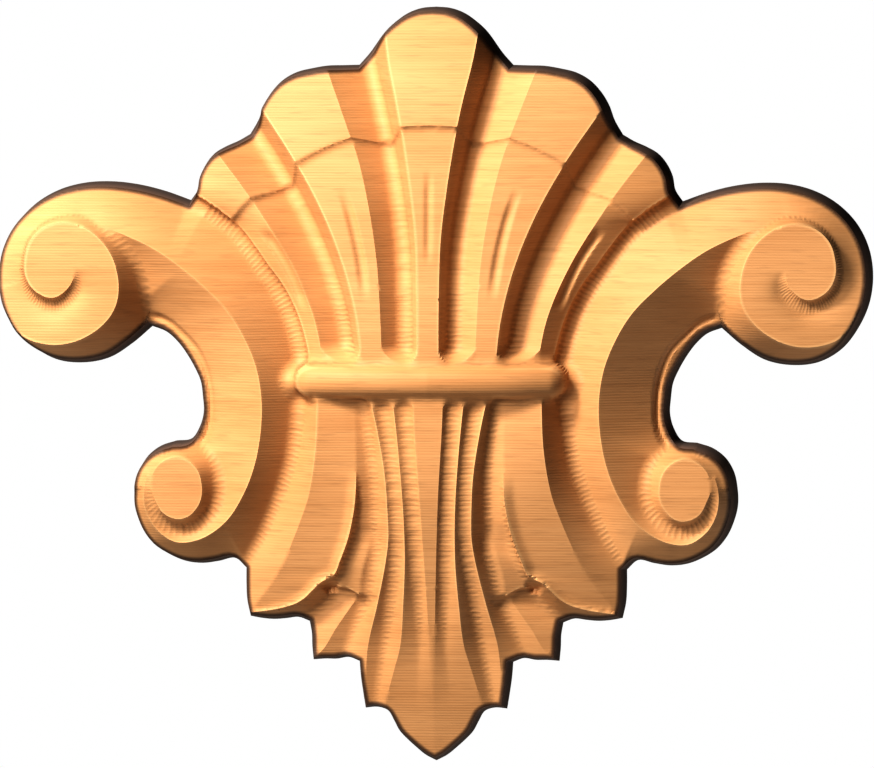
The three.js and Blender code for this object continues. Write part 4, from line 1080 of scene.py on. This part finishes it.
@dataclass(frozen=True)
class Tints:
    """The wood's colours, the painted highlight and painted shade, and the sizes of the cutter's
    marks, in metres.
    """

    light: tuple = (0.57, 0.318, 0.146, 1)
    dark: tuple = (0.43, 0.214, 0.083, 1)
    # Painted highlight: the colour that convex ridges and edges are lightened toward.
    ridge: tuple = (0.72, 0.48, 0.25, 1)
    # Random dark flecks of the wood, and also the painted shade of creases, hollows and the
    # cutter's marks.
    fleck_and_crease_shade: tuple = (0.11, 0.058, 0.026, 1)
    # Painted shade along the face's edge, next to the outline.
    rim: tuple = (0.07, 0.036, 0.02, 1)
    # Painted shade on the walls: lighter at the face's edge, darker toward the back.
    painted_wall_shade: tuple = (0.15, 0.095, 0.07, 1)
    char: tuple = (0.085, 0.062, 0.052, 1)
    row_pitch: float = 0.00062
    notch_pitch: float = 0.0012
    notch_height: float = 2.0
    # How far the marks' stripes in the hollows are darkened: painted shade.
    notch_shade: float = 0.2
    fleck_share: float = 0.14
    ridge_highlight_share: float = 0.35
    sunk_share: float = 0.38

    def rows(self, graph: Graph) -> bpy.types.NodeSocket:
        """Return a wave of z with the rows' pitch, its phase and strength made uneven."""
        place = graph.node("ShaderNodeTexCoord")
        split = graph.node("ShaderNodeSeparateXYZ")
        graph.feed(place.outputs["Object"], split.inputs[0])
        phase = graph.math("MULTIPLY_ADD", split.outputs["Z"], 2 * math.pi / self.row_pitch,
                           graph.math("MULTIPLY", graph.noise((9, 9, 170)), 10.0))
        strength = graph.math("MULTIPLY_ADD", graph.noise((50, 50, 240)), 1.8, -0.15)
        return graph.math("MULTIPLY", graph.math("SINE", phase), strength)

    def notches(self, graph: Graph) -> bpy.types.NodeSocket:
        """Return a wave across the hollows, strongest where the cutter left most."""
        turn = 2 * math.pi / (self.notch_pitch * 1000)
        phase = graph.math("MULTIPLY_ADD", graph.mask("along"), turn,
                           graph.math("MULTIPLY", graph.noise((240, 240, 240)), 7.0))
        strength = graph.math("MULTIPLY_ADD", graph.noise((90, 90, 160)), 2.2, -0.2)
        return graph.math("MULTIPLY", graph.math("MULTIPLY", graph.math("SINE", phase), strength),
                          graph.mask("hollow"))

    def group(self) -> bpy.types.NodeTree:
        """Return the node group of wood, a painted highlight on the ridges, painted shade in
        hollows and creases, and marks, made once.
        """
        if "carved wood" in bpy.data.node_groups:
            return bpy.data.node_groups["carved wood"]
        tree = bpy.data.node_groups.new("carved wood", "ShaderNodeTree")
        for name, kind in (("Color", "NodeSocketColor"), ("Height", "NodeSocketFloat")):
            tree.interface.new_socket(name, in_out="OUTPUT", socket_type=kind)
        graph = Graph(tree)
        rows, notches = self.rows(graph), self.notches(graph)
        streak = graph.noise((30, 60, 900), 3.0)
        figure = graph.noise((14, 20, 60), 3.0)
        share = graph.math("MULTIPLY_ADD", rows, 0.12, graph.math("MULTIPLY_ADD", streak, 0.85,
                           graph.math("MULTIPLY_ADD", figure, 1.3, -0.68)))
        colour = graph.blend(share, self.light, self.dark)
        fleck = graph.rising(graph.noise((150, 150, 1700), 1.5), 0.52, 0.74)
        colour = graph.blend(graph.math("MULTIPLY", fleck, self.fleck_share), colour, self.fleck_and_crease_shade)
        bulge = graph.mask("bulge")
        # Painted highlight: convex places (bulge) are lightened toward the ridge colour.
        wear_and_highlight = graph.math("MULTIPLY", graph.rising(bulge, 0.06, 0.36), self.ridge_highlight_share)
        colour = graph.blend(wear_and_highlight, colour, self.ridge)
        # Painted shade: concave places, and the marks in the hollows, are darkened toward the shade
        # colour.
        sunk = graph.rising(graph.math("MULTIPLY", bulge, -1.0), 0.03, 0.45)
        cut = graph.math("MULTIPLY_ADD", notches, self.notch_shade,
                         graph.math("MULTIPLY", sunk, self.sunk_share))
        colour = graph.blend(graph.math("MAXIMUM", cut, 0.0), colour, self.fleck_and_crease_shade)
        # Painted shade: the face darkens toward its outline.
        colour = graph.blend(graph.rising(graph.mask("rim"), 0.1, 1.0), colour, self.rim)
        end = graph.node("NodeGroupOutput")
        graph.feed(colour, end.inputs["Color"])
        graph.feed(graph.math("MULTIPLY_ADD", notches, self.notch_height, rows),
                   end.inputs["Height"])
        return tree


@dataclass(frozen=True)
class WoodFinish:
    """One surface of the wood: a Principled shader fed by what its finish needs."""

    name: str
    kind: Finish
    tints: Tints = Tints()
    roughness: float = 0.6
    gloss: float = 0.22
    mark_depth: float = 0.000012

    def material(self) -> bpy.types.Material:
        """Build the material."""
        made = bpy.data.materials.new(self.name)
        made.use_nodes = True
        graph = Graph(made.node_tree)
        shader = made.node_tree.nodes["Principled BSDF"]
        shader.inputs["Roughness"].default_value = self.roughness
        shader.inputs["Specular IOR Level"].default_value = self.gloss
        if self.kind is Finish.CARVED:
            wood = graph.node("ShaderNodeGroup", node_tree=self.tints.group())
            graph.feed(wood.outputs["Color"], shader.inputs["Base Color"])
            bump = graph.node("ShaderNodeBump")
            bump.inputs["Distance"].default_value = self.mark_depth
            graph.feed(wood.outputs["Height"], bump.inputs["Height"])
            graph.feed(bump.outputs["Normal"], shader.inputs["Normal"])
        elif self.kind is Finish.SHADED_WALL:
            # Painted shade: the walls darken from the face's edge toward the back.
            share = graph.rising(graph.mask("rim"), 1.0, 1.75)
            graph.feed(graph.blend(share, self.tints.painted_wall_shade, self.tints.char),
                       shader.inputs["Base Color"])
        else:
            graph.feed(graph.blend(graph.noise((15, 15, 400), 4.0), self.tints.light,
                                   self.tints.dark), shader.inputs["Base Color"])
        return made


@dataclass
class Ornament:
    """The carved piece: a sheet of small facets over the carving, plain walls and a flat back."""

    carving: Carving = field(default_factory=Carving)
    cell: float = 0.45
    half_width: float = 102
    half_height: float = 88.2
    name: str = "carved_onlay"
    follow: float = 0.02
    on_mirror: float = 1e-9
    rim_width: float = 1.5
    cut_away: tuple[float, float] = (0.02, 0.22)
    worn_above: tuple[float, float] = (16, 30)
    worn_share: float = 0.85
    seam: float = 0.8
    calm_round: tuple[float, float] = (3.5, 6)
    score_share: float = 0.3
    sharp_angle: float = 32.0
    face: WoodFinish = WoodFinish("carved_face", Finish.CARVED)
    # The walls carry painted shade, not a finish of the wood.
    edge: WoodFinish = WoodFinish("painted_shade_walls", Finish.SHADED_WALL)
    back: WoodFinish = WoodFinish("plain_back", Finish.PLAIN)
    piece: bpy.types.Object | None = None

    def snapped_grid(self) -> tuple[Array, Array, Array, Array]:
        """Lay the grid and pull the corners next to a sharp line or the rim onto it.

        Every line is followed in steps much smaller than a cell. Each step claims the grid
        corner it is nearest to, and of all claims on a corner the closest one wins.

        Returns:
            x and z of the corners as (rows, columns), the number of the line that each lies on
            (1 for the rim, 0 for none outside it and -1 for none inside it) and the place of
            each rim corner in the rim's list.
        """
        xs = np.arange(0, self.half_width, self.cell)
        zs = np.arange(-self.half_height, self.half_height, self.cell)
        x, z = np.meshgrid(xs, zs)
        polygon = self.carving.outline.polygon()
        within = inside(polygon, x.ravel(), z.ravel()).reshape(x.shape)
        line = np.zeros(x.shape, int)
        place = np.full(x.shape, -1.0)
        rim, _, corners = self.carving.outline.followed(self.follow)
        lines = [rim, *self.carving.creases()]
        for number, points in reversed(list(enumerate(lines, 1))):
            i = np.rint((points[:, 1] - zs[0]) / self.cell).astype(int)
            j = np.rint(points[:, 0] / self.cell).astype(int)
            ok = (i >= 0) & (i < len(zs)) & (j >= 0) & (j < len(xs))
            ok &= (number == 1) | inside(polygon, *points.T)
            known = np.flatnonzero(ok)
            i, j, own = i[ok], j[ok], points[ok]
            gap = np.hypot(own[:, 0] - xs[j], own[:, 1] - zs[i])
            if number == 1:
                gap = gap - self.cell * corners[known]
            order = np.lexsort((gap, i * len(xs) + j))
            _, first = np.unique((i * len(xs) + j)[order], return_index=True)
            best = order[first]
            best = best[gap[best] < self.cell * 0.5]
            x[i[best], j[best]] = own[best, 0]
            z[i[best], j[best]] = own[best, 1]
            line[i[best], j[best]] = number
            place[i[best], j[best]] = known[best] if number == 1 else -1
        x[:, 0] = 0
        line[(line == 0) & within] = -1
        return x, z, line, place

    def face_triangles(self, x: Array, z: Array, line: Array) -> Array:
        """Cut every cell along the diagonal that follows a sharp line, and keep the inner ones.

        Args:
            x: Places across, as (rows, columns).
            z: Places up.
            line: The number of the line that each corner lies on.

        Returns:
            Rows of three corner numbers, counted along the grid's rows.
        """
        polygon = self.carving.outline.polygon()
        fx, fz, fl = x.ravel(), z.ravel(), line.ravel()
        held = fl != 0
        n = x.shape[1]
        i, j = np.mgrid[0:x.shape[0] - 1, 0:n - 1]
        a = (i * n + j).ravel()
        b, c, d = a + 1, a + n + 1, a + n

        def area(p: Array, q: Array, r: Array) -> Array:
            """Return twice the area of triangles, positive when they run anticlockwise."""
            return (fx[q] - fx[p]) * (fz[r] - fz[p]) - (fz[q] - fz[p]) * (fx[r] - fx[p])

        scale = self.cell ** 2
        worst_ac = np.minimum(area(a, b, c), area(a, c, d)) / scale
        worst_bd = np.minimum(area(a, b, d), area(b, c, d)) / scale
        link_ac = (fl[a] > 0) & (fl[a] == fl[c])
        link_bd = (fl[b] > 0) & (fl[b] == fl[d])
        score_ac = np.minimum(worst_ac, 0.3) + link_ac * (worst_ac > 0.02)
        score_bd = np.minimum(worst_bd, 0.3) + link_bd * (worst_bd > 0.02)
        along_ac = score_ac >= score_bd
        both = np.concatenate([
            np.where(along_ac[:, None], np.c_[a, b, c], np.c_[a, b, d]),
            np.where(along_ac[:, None], np.c_[a, c, d], np.c_[b, c, d])])
        both = both[held[both].all(1)]
        cx, cz = fx[both].mean(1), fz[both].mean(1)
        return both[inside(polygon, cx, cz) & (area(*both.T) > 1e-5)]

    def heights(self, x: Array, z: Array, line: Array) -> tuple[Array, dict[str, Array]]:
        """Return the face's height at every corner, and the masks that its finish reads.

        The height is the larger of the sharp form and the rounded one. On a sharp line the
        sharp form is the largest of four places close by, so that a step keeps its upper edge.
        The marks in the hollows are weak in the worn upper flutes, round the band's end and
        where two ways of counting along a hollow meet.

        Args:
            x: Places across.
            z: Places up.
            line: The number of the line that each corner lies on.

        Returns:
            The height, and by name: how much the cutter left in a hollow, the place along it,
            how far the surface bulges, and how near the rim is (1 on it).
        """
        carving = self.carving
        plain = carving.raw(x, z)
        sharp = plain.copy()
        on = np.flatnonzero(line > 0)
        for dx, dz in ((0.03, 0), (-0.03, 0), (0, 0.03), (0, -0.03)):
            sharp[on] = np.maximum(sharp[on], carving.raw(np.abs(x[on] + dx), z[on] + dz))
        surface = carving.rounded()
        soft = surface.read(surface.height, x, z)
        out = np.maximum(sharp, soft)
        rim = carving.outline.edges(1.0)[0]
        gap = nearest(np.c_[rim, np.zeros(len(rim))], x, z).distance
        wear_and_highlight = smooth_step(z, *self.worn_above) * (x < Profile(carving.shell.edge_2)(z))
        scroll = carving.scroll
        joined = np.abs(np.abs(x - scroll.foot_x(z)) - scroll.mark_reach) > self.seam
        band = carving.band
        calm = smooth_step(np.hypot(x - band.straight - 2, z - band.level), *self.calm_round)
        marked = (1 - self.worn_share * wear_and_highlight) * joined * calm
        masks = {
            "hollow": smooth_step(soft - plain, *self.cut_away) * marked,
            "along": scroll.along(x, z),
            # bulge drives the painted highlight on ridges and the painted shade in creases; rim
            # drives the painted shade at the edge and on the walls.
            "bulge": (surface.read(surface.bulge, x, z)
                      - self.score_share * carving.shell.score(x, z)),
            "rim": 1 - smooth_step(gap, 0, self.rim_width),
        }
        return out + sum(cut.height(x, z) for cut in carving.cuts), masks

    @staticmethod
    def border(triangles: Array, x: Array) -> Array:
        """Find the edges that only one triangle has, apart from those on the mirror line.

        Args:
            triangles: Rows of three corner numbers.
            x: Places across of the corners.

        Returns:
            Rows of two corner numbers, in the order of their triangle.
        """
        edges = np.concatenate([triangles[:, [0, 1]], triangles[:, [1, 2]], triangles[:, [2, 0]]])
        _, index, count = np.unique(np.sort(edges, axis=1), axis=0, return_index=True,
                                    return_counts=True)
        found = edges[index[count == 1]]
        return found[~((x[found] == 0).all(1))]

    def build(self) -> None:
        """Make the closed sheet: face, mirrored face, leaning walls and one flat back.

        The right half's points come first, those of the face and then those of the outline on
        the back. The left half's follow in the same order, without those on the mirror line.
        """
        gx, gz, line, place = self.snapped_grid()
        used, triangles = np.unique(self.face_triangles(gx, gz, line), return_inverse=True)
        triangles = triangles.reshape(-1, 3)
        x, z, line, place = (grid.ravel()[used] for grid in (gx, gz, line, place))
        height, masks = self.heights(x, z, line)
        border = self.border(triangles, x)
        log.info("%d face triangles, %d border edges, %d off the rim", len(triangles),
                 len(border), (line[border] != 1).any(1).sum())
        ring = np.unique(border)
        ring = ring[np.argsort(place[ring])]
        foot = self.carving.outline.followed(self.follow)[1][np.rint(place[ring]).astype(int)]
        n, m = len(x), len(ring)
        low = n + np.arange(m)
        low_of = np.full(n, -1)
        low_of[ring] = low
        walls = np.c_[border[:, ::-1], low_of[border]]
        half = np.r_[np.c_[x, -height, z], np.c_[foot[:, 0], np.zeros(m), foot[:, 1]]]
        points = np.r_[half, half * [-1, 1, 1]]
        own = np.abs(half[:, 0]) >= self.on_mirror
        left = np.where(own, n + m, 0) + np.arange(n + m)
        keep = np.flatnonzero(np.r_[np.ones(n + m, bool), own])
        new = np.full(len(points), -1)
        new[keep] = np.arange(len(keep))
        back = np.r_[low, left[low[1:-1][::-1]]]
        # The rim mask runs from 1 at the face's edge to 2 on the back's outline; the walls' painted
        # shade follows it.
        masks["rim"][ring] = 1
        past = {name: 2.0 if name == "rim" else 0.0 for name in masks}
        self.sheet(points[keep], [new[np.r_[triangles, left[triangles[:, ::-1]]]],
                                  new[np.r_[walls, left[walls[:, ::-1]]]], new[back][None]],
                   {name: np.tile(np.r_[mask, np.full(m, past[name])], 2)[keep]
                    for name, mask in masks.items()})

    def sheet(self, points: Array, parts: list[Array], masks: dict[str, Array]) -> None:
        """Store the points, faces and masks as the piece's mesh.

        Args:
            points: Rows x, y, z in millimetres.
            parts: Faces as rows of point numbers, one array for each material slot.
            masks: One value for each point, by name.
        """
        sizes = np.repeat([part.shape[1] for part in parts], [len(part) for part in parts])
        slots = np.repeat(np.arange(len(parts)), [len(part) for part in parts])
        loops = np.concatenate([part.ravel() for part in parts])
        mesh = bpy.data.meshes.new(self.name)
        mesh.vertices.add(len(points))
        mesh.vertices.foreach_set("co", (points * MM).ravel())
        mesh.loops.add(len(loops))
        mesh.loops.foreach_set("vertex_index", loops.astype(np.int32))
        mesh.polygons.add(len(sizes))
        mesh.polygons.foreach_set("loop_start", np.r_[0, np.cumsum(sizes)[:-1]].astype(np.int32))
        mesh.polygons.foreach_set("material_index", slots.astype(np.int32))
        for name, mask in masks.items():
            made = mesh.attributes.new(name, "FLOAT", "POINT")
            made.data.foreach_set("value", mask.astype(np.float32))
        mesh.update(calc_edges=True)
        mesh.validate()
        mesh.shade_smooth()
        mesh.set_sharp_from_angle(angle=math.radians(self.sharp_angle))
        self.piece = bpy.data.objects.new(self.name, mesh)
        bpy.context.scene.collection.objects.link(self.piece)

    def dress(self) -> None:
        """Give the face its wood, the walls a dark colour painted in for their shade, and the back
        plain wood.
        """
        for finish in (self.face, self.edge, self.back):
            self.piece.data.materials.append(finish.material())

    def mount(self) -> None:
        """Let the piece ride on the part's body in place of the plain solid."""
        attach(self.piece, "root")
        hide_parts("carved_ornament")


@dataclass(frozen=True)
class Lamp:
    """A round soft lamp aimed at the middle of the piece.

    Its place is given by the tilt from the face's normal and by the turn in the face's plane,
    both in degrees: turn 0 is to the right of the piece and 90 above it.
    """

    name: str
    tilt: float
    turn: float
    distance: float
    size: float
    watts: float
    shadows: bool = True

    def light(self) -> None:
        """Put the lamp into the scene."""
        made = bpy.data.lights.new(self.name, "AREA")
        made.shape = "DISK"
        made.size = self.size
        made.energy = self.watts
        made.use_shadow = self.shadows
        made.color = WARM
        lamp = bpy.data.objects.new(self.name, made)
        tilt, turn = math.radians(self.tilt), math.radians(self.turn)
        lamp.location = self.distance * Vector((math.sin(tilt) * math.cos(turn), -math.cos(tilt),
                                                math.sin(tilt) * math.sin(turn)))
        lamp.rotation_mode = "QUATERNION"
        lamp.rotation_quaternion = (-lamp.location).to_track_quat("-Z", "Y")
        bpy.context.scene.collection.objects.link(lamp)


@dataclass
class Studio:
    """A pale floor, soft light from the upper left and the camera at the photograph's angle."""

    azimuth: float = 5.2
    elevation: float = 2.5
    pixels_per_mm: float = 4.335
    distance: float = 2.4
    width: int = 874
    height: int = 768
    centre: tuple[float, float] = (436.5, 384.0)
    sensor: float = 36.0
    floor_level: float = -0.55
    floor_half: float = 1.6
    floor_cells: int = 8
    sky: float = 0.012
    lamps: tuple = (
        Lamp("key", tilt=48, turn=124, distance=0.4, size=0.09, watts=2.3),
        Lamp("fill", tilt=56, turn=132, distance=1.5, size=0.3, watts=27.0, shadows=False),
        Lamp("side", tilt=38, turn=165, distance=1.5, size=0.3, watts=5.0),
        Lamp("rim", tilt=100, turn=-25, distance=1.0, size=0.4, watts=2.5),
    )
    gamma: float = 0.72

    def floor(self) -> None:
        """Lay the floor well below the piece, which hangs by its back."""
        n = self.floor_cells
        rows = np.linspace(-self.floor_half, self.floor_half, n + 1)
        gx, gy = np.meshgrid(rows, rows)
        points = np.c_[gx.ravel(), gy.ravel(), np.full(gx.size, self.floor_level)]
        i = (np.arange(n)[:, None] * (n + 1) + np.arange(n)).ravel()
        mesh = bpy.data.meshes.new("floor")
        mesh.from_pydata(points.tolist(), [], np.c_[i, i + 1, i + n + 2, i + n + 1].tolist())
        made = bpy.data.materials.new("pale_floor")
        made.use_nodes = True
        shader = made.node_tree.nodes["Principled BSDF"]
        shader.inputs["Base Color"].default_value = (0.8, 0.8, 0.8, 1)
        shader.inputs["Roughness"].default_value = 0.8
        mesh.materials.append(made)
        piece = bpy.data.objects.new("floor", mesh)
        bpy.context.scene.collection.objects.link(piece)

    def lights(self) -> None:
        """Set the lamps and a faint even sky; the camera sees plain white behind the piece."""
        for lamp in self.lamps:
            lamp.light()
        world = bpy.data.worlds.new("sky")
        world.use_nodes = True
        nodes, links = world.node_tree.nodes, world.node_tree.links
        ground = nodes["Background"]
        ground.inputs["Color"].default_value = (*WARM, 1)
        ground.inputs["Strength"].default_value = self.sky
        white = nodes.new("ShaderNodeBackground")
        white.inputs["Strength"].default_value = 1.0
        white.inputs["Color"].default_value = (1, 1, 1, 1)
        seen = nodes.new("ShaderNodeLightPath")
        both = nodes.new("ShaderNodeMixShader")
        links.new(seen.outputs["Is Camera Ray"], both.inputs[0])
        links.new(ground.outputs[0], both.inputs[1])
        links.new(white.outputs[0], both.inputs[2])
        links.new(both.outputs[0], nodes["World Output"].inputs["Surface"])
        bpy.context.scene.world = world
        bpy.context.scene.view_settings.view_transform = "Standard"
        bpy.context.scene.view_settings.gamma = self.gamma

    def camera(self) -> None:
        """Stand a long lens at the photograph's angle, aimed so that the origin falls in place."""
        a, e = math.radians(self.azimuth), math.radians(self.elevation)
        back = Vector((math.sin(a) * math.cos(e), -math.cos(a) * math.cos(e), math.sin(e)))
        right = Vector((math.cos(a), math.sin(a), 0))
        up = right.cross(-back)
        aim = (right * (self.width / 2 - self.centre[0])
               + up * (self.centre[1] - self.height / 2)) * (MM / self.pixels_per_mm)
        lens = bpy.data.cameras.new("camera")
        lens.sensor_width = self.sensor
        depth = self.distance
        lens.lens = self.sensor * depth * self.pixels_per_mm / (self.width * MM)
        lens.clip_start, lens.clip_end = 0.1, 20.0
        camera = bpy.data.objects.new("camera", lens)
        camera.rotation_mode = "QUATERNION"
        camera.location = aim + back * depth
        camera.rotation_quaternion = (-back).to_track_quat("-Z", "Y")
        bpy.context.scene.collection.objects.link(camera)
        bpy.context.scene.camera = camera


def main() -> None:
    """Build the piece, then the studio."""
    logging.basicConfig(level=logging.INFO, format="%(name)s: %(message)s")
    ornament = Ornament()
    ornament.build()
    ornament.dress()
    ornament.mount()
    log.info("%s: %d faces", ornament.piece.name, len(ornament.piece.data.polygons))
    studio = Studio()
    studio.floor()
    studio.lights()
    studio.camera()
    log.info("size written")


if __name__ == "__main__":
    main()
